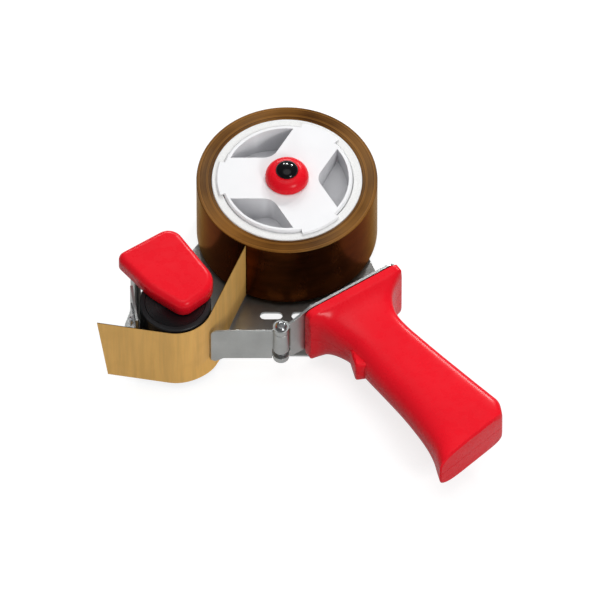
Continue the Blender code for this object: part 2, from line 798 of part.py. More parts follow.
def blade_screw_start(height):
    """Centre of a blade screw where it meets the outer face of the blade."""
    along = BLADE_FLANGE_LENGTH + BLADE_PROUD - BLADE_DEPTH + BLADE_SCREW_INSET
    point = blade_point(along, SHEET + GAP + BLADE_THICKNESS + GAP)
    return (point.x, point.y, height)


def blade_screw_hole(name, height):
    """Clearance hole for a blade screw, through the blade and its flange."""
    length = BLADE_THICKNESS + SHEET + OVERRUN
    hole = cylinder(name, BLADE_SCREW_RADIUS + GAP, -OVERRUN, length, SMALL)
    return aim(hole, blade_screw_start(height), (-BLADE_SIDE.x, -BLADE_SIDE.y, 0))


def make_blade(steel):
    """Serrated cutting blade on the outer face of the blade flange."""
    tip = BLADE_FLANGE_LENGTH + BLADE_PROUD
    edge = [(tip - BLADE_DEPTH, ROLL_TOP), (tip - BLADE_DEPTH, ROLL_Z)]
    pitch = ROLL_WIDTH / TOOTH_COUNT
    for i in range(TOOTH_COUNT):
        edge.append((tip - TOOTH_DEPTH, ROLL_Z + pitch * i))
        edge.append((tip, ROLL_Z + pitch * (i + 1 / 2)))
    edge.append((tip - TOOTH_DEPTH, ROLL_TOP))
    sections = []
    for side in (SHEET + GAP, SHEET + GAP + BLADE_THICKNESS):
        section = []
        for along, height in edge:
            point = blade_point(along, side)
            section.append((point.x, point.y, height))
        sections.append(section)
    blade = loft("blade", sections, steel)
    for height in blade_screw_heights():
        cut(blade, blade_screw_hole("guide_blade_hole", height))
    return blade


def make_blade_screws(steel):
    """Screws that hold the blade, flush inside the blade flange."""
    length = GAP + BLADE_THICKNESS + GAP + SHEET
    size = (BLADE_SCREW_HEAD_RADIUS, BLADE_SCREW_HEAD, BLADE_SCREW_RADIUS, length)
    for number, height in enumerate(blade_screw_heights(), 1):
        item = screw(f"blade_screw_{number}", *size, steel)
        aim(item, blade_screw_start(height), (-BLADE_SIDE.x, -BLADE_SIDE.y, 0))


# Hub and roll

def arm_angle(number):
    """Direction of one of the hub's arms."""
    return ARM_START + math.tau * number / ARM_COUNT


def pocket_outline(number):
    """Outline of the pocket that follows an arm anticlockwise, seen from above."""
    middle = arm_angle(number) + math.pi / ARM_COUNT
    rim = HUB_RADIUS - HUB_RIM_WALL
    half = math.pi / ARM_COUNT - math.asin(ARM_WIDTH / 2 / rim)
    inner = around(HUB_AXIS, ARM_WIDTH / 2 / math.sin(math.pi / ARM_COUNT), middle)
    start = around(HUB_AXIS, rim, middle - half)
    end = around(HUB_AXIS, rim, middle + half)
    corners = [(start.x, start.y, 0), (end.x, end.y, 0), (inner.x, inner.y, POCKET_CORNER)]
    corner = rounded_outline(corners, ARC_STEPS * 2)[2:]
    return arc(HUB_AXIS, rim, middle - half, middle + half, ARC_STEPS * 2) + corner


def pocket_tool(name, number, top, drop):
    """Cutter between a height and the pocket's tilted floor, lowered by a drop."""
    outline = pocket_outline(number)
    middle = arm_angle(number) + math.pi / ARM_COUNT
    down_slope = Vector((math.sin(middle), -math.cos(middle)))
    reach = (HUB_RADIUS - HUB_RIM_WALL) * math.sin(math.pi / ARM_COUNT)
    floor = []
    for x, y in outline:
        share = (down_slope.dot(Vector((x, y))) / reach + 1) / 2
        depth = POCKET_SHALLOW + (POCKET_DEEP - POCKET_SHALLOW) * share
        floor.append((x, y, HUB_TOP - depth - drop))
    flat = [(x, y, top) for x, y in outline]
    return loft(name, [flat, floor])


def arm_tool(number):
    """Hollow inside an arm, open at the bottom."""
    angle = arm_angle(number)
    way = Vector((math.cos(angle), math.sin(angle)))
    side = Vector((-way.y, way.x))
    half = ARM_WIDTH / 2 - HUB_WALL
    rim = HUB_RADIUS - HUB_WALL
    spread = math.asin(half / rim)
    start = WELL_RADIUS + HUB_WALL + HUB_RIM_WALL / 2
    outline = [way * start + side * half, way * start - side * half]
    outline += arc(HUB_AXIS, rim, angle - spread, angle + spread, ARC_STEPS)
    return prism("guide_arm", [tuple(point) for point in outline], HUB_Z - OVERRUN, HUB_TOP - HUB_SKIN)


def lip_tool(number):
    """Retaining lip at the end of an arm, which reaches over the end of the core."""
    angle = arm_angle(number)
    outer = HUB_RADIUS + HUB_LIP
    inner = HUB_RADIUS - HUB_WALL
    half = math.asin(HUB_LIP_LENGTH / 2 / outer)
    rings = []
    edges = [(outer, ROLL_TOP + GAP), (outer, HUB_TOP - HUB_LEAD_IN), (outer - HUB_LEAD_IN, HUB_TOP)]
    for radius, z in edges:
        outline = arc(HUB_AXIS, radius, angle - half, angle + half, ARC_STEPS)
        outline += arc(HUB_AXIS, inner, angle + half, angle - half, ARC_STEPS)
        rings.append([(x, y, z) for x, y in outline])
    return loft("guide_lip", rings)


def make_core_hub(plastic):
    """Three-armed moulded hub that carries the tape core."""
    bore = AXLE_RADIUS + GAP + BUSHING_WALL + GAP
    profile = [
        (bore, HUB_Z),
        (HUB_FLANGE_RADIUS, HUB_Z),
        (HUB_FLANGE_RADIUS, HUB_Z + HUB_FLANGE),
        (HUB_RADIUS, HUB_Z + HUB_FLANGE),
        (HUB_RADIUS, HUB_TOP - HUB_LEAD_IN),
        (HUB_RADIUS - HUB_LEAD_IN, HUB_TOP),
        (WELL_RADIUS, HUB_TOP),
        (WELL_RADIUS, WELL_Z),
        (bore, WELL_Z),
    ]
    hub = turned("core_hub", profile, FINE, material=plastic)
    for number in range(ARM_COUNT):
        cut(hub, pocket_tool("guide_pocket", number, HUB_TOP + OVERRUN, 0))
        cut(hub, pocket_tool("guide_underside", number, HUB_Z - OVERRUN, HUB_SKIN))
        cut(hub, arm_tool(number))
        join(hub, lip_tool(number))
    return hub


def make_hub_bushing(plastic):
    """Flanged bush pressed into the hub, which turns on the axle."""
    inner = AXLE_RADIUS + GAP
    seat = WELL_Z + GAP
    profile = [
        (inner, HUB_Z + GAP),
        (inner + BUSHING_WALL, HUB_Z + GAP),
        (inner + BUSHING_WALL, seat),
        (WELL_RADIUS - GAP, seat),
        (WELL_RADIUS - GAP, seat + BUSHING_FLANGE),
        (inner, seat + BUSHING_FLANGE),
    ]
    return turned("hub_bushing", profile, MEDIUM, material=plastic)


def make_tape_core(card):
    """Cardboard core of the roll."""
    profile = tube_profile(CORE_BORE_RADIUS, CORE_BORE_RADIUS + CORE_WALL, ROLL_Z, ROLL_TOP)
    return turned("tape_core", profile, FINE, material=card)


def make_tape_roll(tape):
    """The wound tape."""
    inner = CORE_BORE_RADIUS + CORE_WALL + GAP
    profile = tube_profile(inner, ROLL_RADIUS, ROLL_Z, ROLL_TOP)
    return turned("tape_roll", profile, FINE, material=tape)


# Axle and brake

def make_hub_axle(steel):
    """Axle welded to the plate, with a threaded end for the brake knob."""
    foot_top = FOOT_Z + FRICTION_WASHER
    shoulder = WASHER_Z + PRESSURE_WASHER
    profile = [
        (0, FOOT_Z),
        (AXLE_FOOT_RADIUS, FOOT_Z),
        (AXLE_FOOT_RADIUS, foot_top),
        (AXLE_RADIUS, foot_top),
        (AXLE_RADIUS, shoulder),
        (AXLE_THREAD_RADIUS, shoulder),
        (AXLE_THREAD_RADIUS, shoulder + AXLE_THREAD_LENGTH),
        (0, shoulder + AXLE_THREAD_LENGTH),
    ]
    return turned("hub_axle", profile, COARSE, material=steel)


def make_friction_washer(fibre):
    """Friction washer between the plate and the hub, round the axle's foot."""
    inner = AXLE_FOOT_RADIUS + GAP
    profile = tube_profile(inner, FRICTION_WASHER_RADIUS, FOOT_Z, FOOT_Z + FRICTION_WASHER)
    return turned("hub_friction_washer", profile, MEDIUM, material=fibre)


def helix(centre, radius, low, high, turns, wire_radius, closing, steps):
    """Points of a coil; closing draws its end turns closer than the others."""
    points = []
    count = round(turns * steps)
    bottom = low + wire_radius
    rise = high - low - wire_radius * 2
    for i in range(count + 1):
        share = i / count
        eased = share - closing * math.sin(math.tau * share) / math.tau
        angle = math.tau * turns * share
        x, y = around(centre, radius, angle)
        points.append(Vector((x, y, bottom + rise * eased)))
    return points


def least_gap(points, wire_radius, steps):
    """Least space between a coil and its own next turn."""
    gaps = []
    for i in range(len(points) - steps):
        gaps.append((points[i + steps] - points[i]).length - wire_radius * 2)
    return min(gaps)


def make_tension_spring(steel):
    """Compression spring between the bush and the pressure washer."""
    low = WELL_Z + GAP + BUSHING_FLANGE + GAP
    radius = (AXLE_RADIUS + WELL_RADIUS) / 2
    wire_radius = SPRING_WIRE / 2
    points = helix(HUB_AXIS, radius, low, WASHER_Z - GAP, SPRING_TURNS, wire_radius,
                   COIL_END_SHARE, COIL_STEPS)
    print("tension_spring least gap", round(least_gap(points, wire_radius, COIL_STEPS), 5))
    return wire("tension_spring", points, wire_radius, WIRE_SIDES, steel)


def make_pressure_washer(steel):
    """Steel washer that the knob presses on the spring."""
    profile = tube_profile(AXLE_RADIUS + GAP, WELL_RADIUS - GAP, WASHER_Z, WASHER_Z + PRESSURE_WASHER)
    return turned("pressure_washer", profile, MEDIUM, material=steel)


def make_tension_knob(plastic):
    """Round brake knob, hollow underneath, with a pocket for its threaded insert."""
    bore = AXLE_THREAD_RADIUS + GAP
    insert = INSERT_RADIUS + GAP
    insert_top = KNOB_BOSS_Z + GAP + INSERT_LENGTH + GAP
    bore_top = WASHER_Z + PRESSURE_WASHER + AXLE_THREAD_LENGTH + GAP
    seat = KNOB_TOP - CAP_SEAT
    ceiling = bore_top - KNOB_WALL / 2
    rounding = arc((KNOB_RADIUS - KNOB_ROUNDING, KNOB_TOP - KNOB_ROUNDING), KNOB_ROUNDING,
                   0, math.pi / 2, ARC_STEPS)
    profile = [
        (insert, KNOB_BOSS_Z),
        (KNOB_BOSS_RADIUS, KNOB_BOSS_Z),
        (KNOB_BOSS_RADIUS, ceiling),
        (KNOB_RADIUS - KNOB_WALL, ceiling),
        (KNOB_RADIUS - KNOB_WALL, KNOB_Z),
        (KNOB_RADIUS, KNOB_Z),
        *rounding,
        (CAP_RADIUS + GAP, KNOB_TOP),
        (CAP_RADIUS + GAP, seat),
        (0, seat),
        (0, bore_top),
        (bore, bore_top),
        (bore, insert_top),
        (insert, insert_top),
    ]
    return turned("tension_knob", profile, MEDIUM, material=plastic)


def make_knob_insert(brass):
    """Threaded insert inside the knob."""
    low = KNOB_BOSS_Z + GAP
    profile = tube_profile(AXLE_THREAD_RADIUS + GAP, INSERT_RADIUS, low, low + INSERT_LENGTH)
    return turned("knob_insert", profile, COARSE, material=brass)


def make_knob_cap(plastic):
    """Domed cap pressed into the top of the knob."""
    seat = KNOB_TOP - CAP_SEAT + GAP
    profile = [(0, seat), (CAP_RADIUS, seat), (CAP_RADIUS, KNOB_TOP)]
    for i in range(1, ARC_STEPS):
        angle = math.pi / 2 * i / ARC_STEPS
        profile.append((CAP_RADIUS * math.cos(angle), KNOB_TOP + CAP_DOME * math.sin(angle)))
    profile.append((0, KNOB_TOP + CAP_DOME))
    return turned("knob_cap", profile, MEDIUM, material=plastic)


# Front roller

def make_roller_core(plastic):
    """Roller core that turns on the shaft, closed at its open-side end."""
    bore = ROLLER_SHAFT_RADIUS + GAP
    hub = bore + ROLLER_HUB_WALL
    outer = ROLLER_RADIUS - SLEEVE_WALL - GAP
    rim = outer - ROLLER_TUBE_WALL
    low = ROLLER_Z + GAP
    high = ROLLER_TOP - GAP
    web = high - ROLLER_WEB
    profile = [
        (bore, FOOT_Z),
        (hub, FOOT_Z),
        (hub, web),
        (rim, web),
        (rim, low),
        (outer, low),
        (outer, high),
        (bore, high),
    ]
    return turned("roller_core", profile, MEDIUM, ROLLER_AXIS, plastic)


def make_roller_sleeve(rubber):
    """Rubber sleeve on the roller."""
    inner = ROLLER_RADIUS - SLEEVE_WALL
    edge = SLEEVE_WALL / 4
    profile = [
        (inner, ROLLER_Z),
        (ROLLER_RADIUS - edge, ROLLER_Z),
        (ROLLER_RADIUS, ROLLER_Z + edge),
        (ROLLER_RADIUS, ROLLER_TOP - edge),
        (ROLLER_RADIUS - edge, ROLLER_TOP),
        (inner, ROLLER_TOP),
    ]
    return turned("roller_sleeve", profile, MEDIUM + COARSE, ROLLER_AXIS, rubber)


def shaft_top():
    """Height of the shaft's end inside the cover's boss."""
    return COVER_BOTTOM + COVER_HEIGHT - COVER_WALL - GAP


def clip_bottom():
    """Height of the underside of the shaft clip."""
    return ROLLER_TOP


def make_roller_shaft(steel):
    """Shaft riveted to the plate, grooved for its clip."""
    groove_low = clip_bottom() - GAP
    groove_high = clip_bottom() + CLIP_THICKNESS + GAP
    groove = ROLLER_SHAFT_RADIUS - CLIP_GROOVE
    profile = [
        (0, GAP),
        (ROLLER_TENON_RADIUS, GAP),
        (ROLLER_TENON_RADIUS, FOOT_Z),
        (ROLLER_SHAFT_RADIUS, FOOT_Z),
        (ROLLER_SHAFT_RADIUS, groove_low),
        (groove, groove_low),
        (groove, groove_high),
        (ROLLER_SHAFT_RADIUS, groove_high),
        (ROLLER_SHAFT_RADIUS, shaft_top()),
        (0, shaft_top()),
    ]
    return turned("roller_shaft", profile, COARSE, ROLLER_AXIS, steel)


def make_shaft_clip(steel):
    """Open retaining clip in the shaft's groove, above the roller."""
    low = clip_bottom()
    inner = ROLLER_SHAFT_RADIUS - CLIP_GROOVE + GAP
    profile = tube_profile(inner, CLIP_RADIUS, low, low + CLIP_THICKNESS)
    clip = turned("shaft_clip", profile, COARSE, ROLLER_AXIS, steel)
    near = (ROLLER_X, ROLLER_Y - CLIP_MOUTH / 2, low - OVERRUN)
    far = (ROLLER_X + CLIP_RADIUS + OVERRUN, ROLLER_Y + CLIP_MOUTH / 2, low + OVERRUN)
    return cut(clip, box("guide_clip_mouth", near, far))


def make_cover_post(steel):
    """Post beside the roller that carries the rear of the cover."""
    shoulder = COVER_BOTTOM + POST_SINK
    profile = [
        (0, GAP),
        (POST_NECK_RADIUS, GAP),
        (POST_NECK_RADIUS, FOOT_Z),
        (POST_RADIUS, FOOT_Z),
        (POST_RADIUS, shoulder),
        (POST_NECK_RADIUS, shoulder),
        (POST_NECK_RADIUS, shoulder + POST_NECK),
        (0, shoulder + POST_NECK),
    ]
    return turned("cover_post", profile, COARSE, POST_AXIS, steel)


def cover_corners():
    """Corners of the cover, anticlockwise from its front top corner."""
    return [
        (COVER_FRONT_X, COVER_TOP_Y, COVER_CORNER),
        (COVER_WAIST_X, COVER_WAIST_Y, COVER_WAIST_RADIUS),
        (COVER_TOE_X, COVER_LOW_Y, COVER_TOE_RADIUS),
        (COVER_REAR_X, COVER_HEEL_Y, COVER_HEEL_RADIUS),
        (COVER_REAR_X, COVER_TOP_Y, COVER_REAR_RADIUS),
    ]


def make_end_cover(plastic):
    """Moulded cover over the open end of the roller, hollow underneath."""
    corners = cover_corners()
    sections = [[(x, y, COVER_BOTTOM) for x, y in rounded_outline(corners)]]
    for i in range(ARC_STEPS):
        angle = math.pi / 2 * i / (ARC_STEPS - 1)
        inset = COVER_EDGE * (1 - math.cos(angle))
        z = COVER_TOP - COVER_EDGE * (1 - math.sin(angle))
        shape = rounded_outline(inset_corners(corners, inset))
        sections.append([(x, y, z) for x, y in shape])
    cover = loft("end_cover", sections, plastic)
    inside = rounded_outline(inset_corners(corners, COVER_WALL))
    cavity = prism("guide_cover_cavity", inside, COVER_BOTTOM - OVERRUN, COVER_TOP - COVER_WALL)
    post_top = COVER_BOTTOM + POST_SINK + POST_NECK
    seats = (
        (ROLLER_AXIS, ROLLER_SHAFT_RADIUS, clip_bottom() + CLIP_THICKNESS + POST_SINK, shaft_top()),
        (POST_AXIS, POST_NECK_RADIUS, COVER_BOTTOM + POST_SINK + GAP, post_top),
    )
    for axis, radius, low, _ in seats:
        wall = radius + GAP + COVER_BOSS_WALL
        cut(cavity, cylinder("guide_cover_boss", wall, low, COVER_TOP, COARSE, axis))
    cut(cover, cavity)
    for axis, radius, low, high in seats:
        cut(cover, cylinder("guide_cover_bore", radius + GAP, low - OVERRUN, high + GAP, COARSE, axis))
    return cover


# Check plate

def make_check_plate(steel):
    """Hinged plate that stops the tape from rolling back."""
    barrel_low = LUG_BOTTOM + KNUCKLE_LUG + GAP + CHECK_SPRING_SPACE
    tip = CHECK_LENGTH - CHECK_TAB_TIP
    barrel = cylinder("check_plate", KNUCKLE_RADIUS, barrel_low, CHECK_TOP, COARSE, CHECK_AXIS, steel)
    corners = [
        (KNUCKLE_RADIUS + GAP, CHECK_BOTTOM, 0),
        (CHECK_LENGTH - CHECK_TAB_LENGTH, CHECK_BOTTOM, 0),
        (tip, CHECK_BOTTOM - CHECK_TAB, CHECK_TAB_RADIUS),
        (CHECK_LENGTH, CHECK_BOTTOM - CHECK_TAB / 2, CHECK_TAB_RADIUS),
        (CHECK_LENGTH, CHECK_TOP, CHECK_CORNER),
        (KNUCKLE_RADIUS - PIN_RADIUS / 2, CHECK_TOP, 0),
        (KNUCKLE_RADIUS - PIN_RADIUS / 2, barrel_low, 0),
        (KNUCKLE_RADIUS + GAP, barrel_low, 0),
    ]
    sections = []
    for side in (-CHECK_SHEET / 2, CHECK_SHEET / 2):
        section = []
        for along, height in rounded_outline(corners):
            point = check_point(along, side)
            section.append((point.x, point.y, height))
        sections.append(section)
    join(barrel, loft("guide_leaf", sections))
    hole = cylinder("guide_barrel_bore", PIN_RADIUS + GAP, CHECK_BOTTOM, COVER_BOTTOM, SMALL, CHECK_AXIS)
    return cut(barrel, hole)


def make_check_pin(steel):
    """Headed pin through the hinge lugs and the check plate."""
    low = LUG_BOTTOM - GAP
    high = CHECK_TOP + GAP + KNUCKLE_LUG + GAP
    profile = [
        (0, low - PIN_HEAD),
        (PIN_HEAD_RADIUS, low - PIN_HEAD),
        (PIN_HEAD_RADIUS, low),
        (PIN_RADIUS, low),
        (PIN_RADIUS, high),
        (PIN_HEAD_RADIUS, high),
        (PIN_HEAD_RADIUS * SCREW_CROWN_SHARE, high + PIN_HEAD),
        (0, high + PIN_HEAD),
    ]
    return turned("check_pin", profile, COARSE, CHECK_AXIS, steel)


def make_check_spring(steel):
    """Torsion spring round the hinge pin, with one leg on the base flange."""
    wire_radius = CHECK_SPRING_WIRE / 2
    low = LUG_BOTTOM + KNUCKLE_LUG + GAP
    high = low + CHECK_SPRING_SPACE - GAP
    turns = CHECK_SPRING_TURNS
    coil = helix(CHECK_AXIS, CHECK_SPRING_RADIUS, low, high, turns, wire_radius, 0, COIL_STEPS)
    print("check_spring least gap", round(least_gap(coil, wire_radius, COIL_STEPS), 5))
    leg_y = FLANGE_INNER_Y + GAP + wire_radius
    end = Vector((coil[0].x + CHECK_SPRING_LEG, leg_y, coil[0].z))
    bend = Vector((coil[0].x + CHECK_SPRING_WIRE * 2, leg_y, coil[0].z))
    return wire("check_spring", [end, bend, *coil], wire_radius, WIRE_SIDES, steel)


# Drawn tape

def drawn_tape_path():
    """Stations along the drawn tape: plan point, outward side, and share of the slack."""
    hold = ROLL_RADIUS + GAP + TAPE_THICKNESS / 2
    start = around(HUB_AXIS, hold, TAPE_LEAVE_ANGLE)
    wrap = ROLLER_RADIUS + TAPE_HUG + TAPE_THICKNESS / 2
    to_axis = ROLLER_AXIS - start
    lean = math.atan2(to_axis.y, to_axis.x) + math.asin(wrap / to_axis.length)
    way = Vector((math.cos(lean), math.sin(lean)))
    run = math.sqrt(to_axis.length ** 2 - wrap ** 2)
    stations = []
    for i in range(RUN_STEPS):
        share = i / RUN_STEPS
        stations.append((start + way * run * share, Vector((-way.y, way.x)), run * (share - 1)))
    first = lean + math.pi / 2
    last = TAIL_ANGLE + math.pi / 2
    sweep = (first - last) % math.tau
    for i in range(WRAP_STEPS + 1):
        angle = first - sweep * i / WRAP_STEPS
        out = Vector((math.cos(angle), math.sin(angle)))
        stations.append((ROLLER_AXIS + out * wrap, out, wrap * sweep * i / WRAP_STEPS))
    return stations


def make_tape_tail(tape):
    """Tape drawn from the roll, round the roller and past the blade, a thin loft."""
    stations = drawn_tape_path()
    tail = Vector((math.cos(TAIL_ANGLE), math.sin(TAIL_ANGLE)))
    end, out, place = stations[-1]
    for i in range(1, TAIL_STEPS + 1):
        stations.append((end, out, place + TAIL_LONG * i / TAIL_STEPS))
    sections = []
    for number, (point, side, place) in enumerate(stations):
        step = max(0, number - len(stations) + 1 + TAIL_STEPS)
        outer = []
        inner = []
        for height in TAPE_ROW_SHARES:
            length = TAIL_SHORT + (TAIL_LONG - TAIL_SHORT) * height
            spot = point + tail * length * step / TAIL_STEPS
            spot = spot + side * slack(place, height)
            z = ROLL_Z + ROLL_WIDTH * height
            outer.append((*(spot + side * TAPE_THICKNESS / 2), z))
            inner.append((*(spot - side * TAPE_THICKNESS / 2), z))
        sections.append(outer + inner[::-1])
    return loft("tape_tail", sections, tape)


def slack(place, height):
    """How far the tape's lower edge hangs away from its tight path."""
    near = max(0, 1 - height / TAPE_SLACK_SHARE)
    bulge = math.exp(-((place - SLACK_PLACE) / SLACK_SPREAD) ** 2)
    return TAPE_SLACK * bulge * near


def carry(name, place, parent, items):
    """Hang moving pieces from an empty on their joint's axis."""
    empty = bpy.data.objects.new(name, None)
    bpy.context.scene.collection.objects.link(empty)
    empty.location = place
    if parent:
        empty.parent = parent
        empty.location = Vector(place) - parent.location
    bpy.context.view_layer.update()
    for item in items:
        item.parent = empty
        item.matrix_parent_inverse = empty.matrix_world.inverted()
    return empty


def build():
    """Make every piece and hang the moving ones from their axes."""
    remove_everything()
    steel = make_material("plated_steel", (0.62, 0.65, 0.63), 0.32, 1.0)
    bright = make_material("bright_steel", (0.78, 0.79, 0.80), 0.25, 1.0)
    red = make_material("red_plastic", (0.85, 0.02, 0.04), 0.35)
    white = make_material("white_plastic", (0.86, 0.87, 0.90), 0.45)
    black = make_material("black_plastic", (0.01, 0.01, 0.012), 0.15)
    rubber = make_material("black_rubber", (0.012, 0.012, 0.013), 0.55)
    card = make_material("core_card", (0.80, 0.79, 0.76), 0.85)
    tape = make_material("brown_tape", (0.36, 0.19, 0.07), 0.25)
    brass = make_material("brass", (0.70, 0.52, 0.22), 0.35, 1.0)
    fibre = make_material("fibre_washer", (0.30, 0.10, 0.06), 0.80)
    nylon = make_material("nylon", (0.75, 0.74, 0.70), 0.50)

    make_side_plate(steel)
    cavity = handle_cavity()
    make_handle_half("handle_half_open_side", 1, cavity, red)
    make_handle_half("handle_half_plate_side", -1, cavity, red)
    make_handle_screws(bright)
    make_flange_screws(bright)
    make_blade(bright)
    make_blade_screws(bright)
    make_hub_axle(bright)
    make_friction_washer(fibre)
    make_roller_shaft(bright)
    make_shaft_clip(bright)
    make_cover_post(steel)
    make_end_cover(red)
    make_check_pin(bright)
    make_check_spring(bright)
    make_tape_tail(tape)

    hub_items = [make_core_hub(white), make_hub_bushing(nylon), make_tape_core(card)]
    hub_items.append(make_tape_roll(tape))
    carry("hub_axis", (0, 0, HUB_Z), None, hub_items)
    roller_items = [make_roller_core(black), make_roller_sleeve(rubber)]
    carry("roller_axis", (ROLLER_X, ROLLER_Y, ROLLER_Z), None, roller_items)
    carry("check_axis", (*CHECK_AXIS, CHECK_BOTTOM), None, [make_check_plate(steel)])
    brake_items = [make_pressure_washer(bright), make_tension_spring(bright)]
    brake = carry("brake_slide", (0, 0, WASHER_Z), None, brake_items)
    knob_items = [make_tension_knob(red), make_knob_insert(brass), make_knob_cap(black)]
    carry("knob_axis", (0, 0, KNOB_Z), brake, knob_items)


build()
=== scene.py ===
"""Looks of the packing tape dispenser: finishes, fine meshes, light and camera."""

import math

import bmesh
import bpy
from mathutils import Matrix, Vector


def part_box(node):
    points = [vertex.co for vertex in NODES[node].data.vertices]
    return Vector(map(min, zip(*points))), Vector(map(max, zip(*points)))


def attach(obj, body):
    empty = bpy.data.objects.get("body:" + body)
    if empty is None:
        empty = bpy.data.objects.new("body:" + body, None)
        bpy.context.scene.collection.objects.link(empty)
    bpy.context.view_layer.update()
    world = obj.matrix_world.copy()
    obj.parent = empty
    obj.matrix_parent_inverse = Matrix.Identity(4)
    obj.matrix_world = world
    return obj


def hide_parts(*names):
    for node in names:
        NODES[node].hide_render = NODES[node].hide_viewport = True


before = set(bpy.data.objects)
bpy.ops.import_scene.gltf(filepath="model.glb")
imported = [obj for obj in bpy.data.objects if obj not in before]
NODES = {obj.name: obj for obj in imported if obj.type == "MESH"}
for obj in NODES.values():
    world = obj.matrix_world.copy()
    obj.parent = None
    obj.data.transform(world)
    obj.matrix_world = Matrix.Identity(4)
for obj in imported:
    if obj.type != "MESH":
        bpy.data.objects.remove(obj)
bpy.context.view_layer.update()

# View of the photograph: a very long lens from 54 degrees above, turned to the left
VIEW_AZIMUTH = math.radians(-33.5)
VIEW_ELEVATION = math.radians(53.9)
VIEW_TARGET = Vector((-0.0195, -0.0430, 0))
VIEW_WIDTH = 0.344
LENS_MM = 1200
SENSOR_MM = 36

# Colours, linear
RED = (0.87, 0.006, 0.018)
WHITE_PLASTIC = (0.92, 0.925, 0.94)
# Painted shade: the grey that the hub's pockets darken to, and how far from a wall that darkening reaches
POCKET_PAINTED_SHADE = (0.58, 0.58, 0.60)
POCKET_SHADE_REACH = 0.016
STEEL = (0.60, 0.62, 0.61)
BRIGHT_STEEL = (0.52, 0.53, 0.54)
TAPE_TAN = (0.97, 0.55, 0.145)
TAPE_DEEP = (0.052, 0.013, 0.005)
TAPE_SHEEN = (0.88, 0.52, 0.18)
TAPE_EDGE = (0.24, 0.098, 0.017)
TAPE_EDGE_DARK = (0.040, 0.011, 0.002)
CARD = (0.86, 0.86, 0.85)
RUBBER = (0.004, 0.004, 0.005)
BLACK = (0.004, 0.004, 0.005)
BRASS = (0.62, 0.43, 0.16)
FIBRE = (0.22, 0.07, 0.04)
NYLON = (0.66, 0.65, 0.60)
FLOOR_GREY = (0.34, 0.34, 0.34)

GAP = 0.0003
FINE = 192
MEDIUM = 96
RECESS_SIDES = 40
SECTION_POINTS = 144
GRIP_STEPS = 110

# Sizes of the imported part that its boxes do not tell
CORE_BORE = 0.0381
SLEEVE_WALL = 0.003
KNOB_SKIRT = 0.0549
ROLL_EDGE = 0.0004
KNOB_ROUND_START = 0.0012
KNOB_HOLLOW = 0.002
KNOB_WALL = 0.0022
KNOB_EDGE = 0.0004
SLEEVE_EDGE = 0.0008
COVER_WALL = 0.002
COVER_EDGE = 0.004
COVER_RIM_EDGE = 0.0003
COVER_CORNERS = [
    (-0.1160, 0.0030, 0.0050), (-0.1123, -0.0275, 0.040), (-0.1041, -0.0505, 0.0075),
    (-0.0762, -0.0470, 0.014), (-0.0762, 0.0030, 0.009),
]
HANDLE_MID_Z = 0.0291
BASE_FRONT_X = -0.042
BASE_REAR_X = 0.021
BASE_HALF_HEIGHT = 0.021
BASE_EDGE = 0.001
BASE_TRIM = 0.0006
BASE_POWER = 14
BASE_Y = -0.0818
GRIP_Y = -0.0878
GRIP_LENGTH = 0.1155
GRIP_DEPTH = 0.040
GRIP_HALF_THICKNESS = 0.014
HEEL_START = 0.988
HEEL_ROUND = 0.0014
REAR_CRISP = 1.7
PARTING = 0.0003
SPUR_HALF_THICKNESS = 0.0075
SPUR_EDGE = 0.0012
SCREW_RECESS = 0.0019
CUT_AWAY = (0.4, 0.4, 0.1)
CUT_AWAY_Y = -0.14
SPUR_CORNERS = [
    (-0.018, -0.1045, 0), (-0.0293, -0.1095, 0.002), (-0.0335, -0.1215, 0.0016), (-0.018, -0.1285, 0),
]
GRIP_SHARES = [
    (0.000, -1.040, 0.515, 1.480, 7.0, 8.0, 0.00),
    (0.022, -0.945, 0.400, 1.370, 5.0, 6.0, 0.00),
    (0.055, -0.875, 0.270, 1.255, 4.0, 5.0, 0.00),
    (0.105, -0.815, 0.175, 1.155, 3.2, 4.4, 0.00),
    (0.170, -0.755, 0.125, 1.085, 2.8, 4.0, 0.00),
    (0.250, -0.735, 0.140, 1.040, 2.6, 3.8, 0.00),
    (0.345, -0.722, 0.190, 1.015, 2.5, 3.8, 0.00),
    (0.480, -0.695, 0.265, 1.000, 2.5, 3.8, 0.00),
    (0.610, -0.673, 0.342, 1.000, 2.5, 3.8, 0.00),
    (0.730, -0.670, 0.410, 1.000, 2.6, 3.9, 0.02),
    (0.830, -0.685, 0.465, 1.000, 2.8, 4.1, 0.06),
    (0.900, -0.725, 0.490, 1.000, 3.2, 4.4, 0.12),
    (0.955, -0.790, 0.455, 0.990, 3.8, 4.8, 0.18),
    (1.000, -0.835, 0.395, 0.965, 4.0, 5.0, 0.19),
]


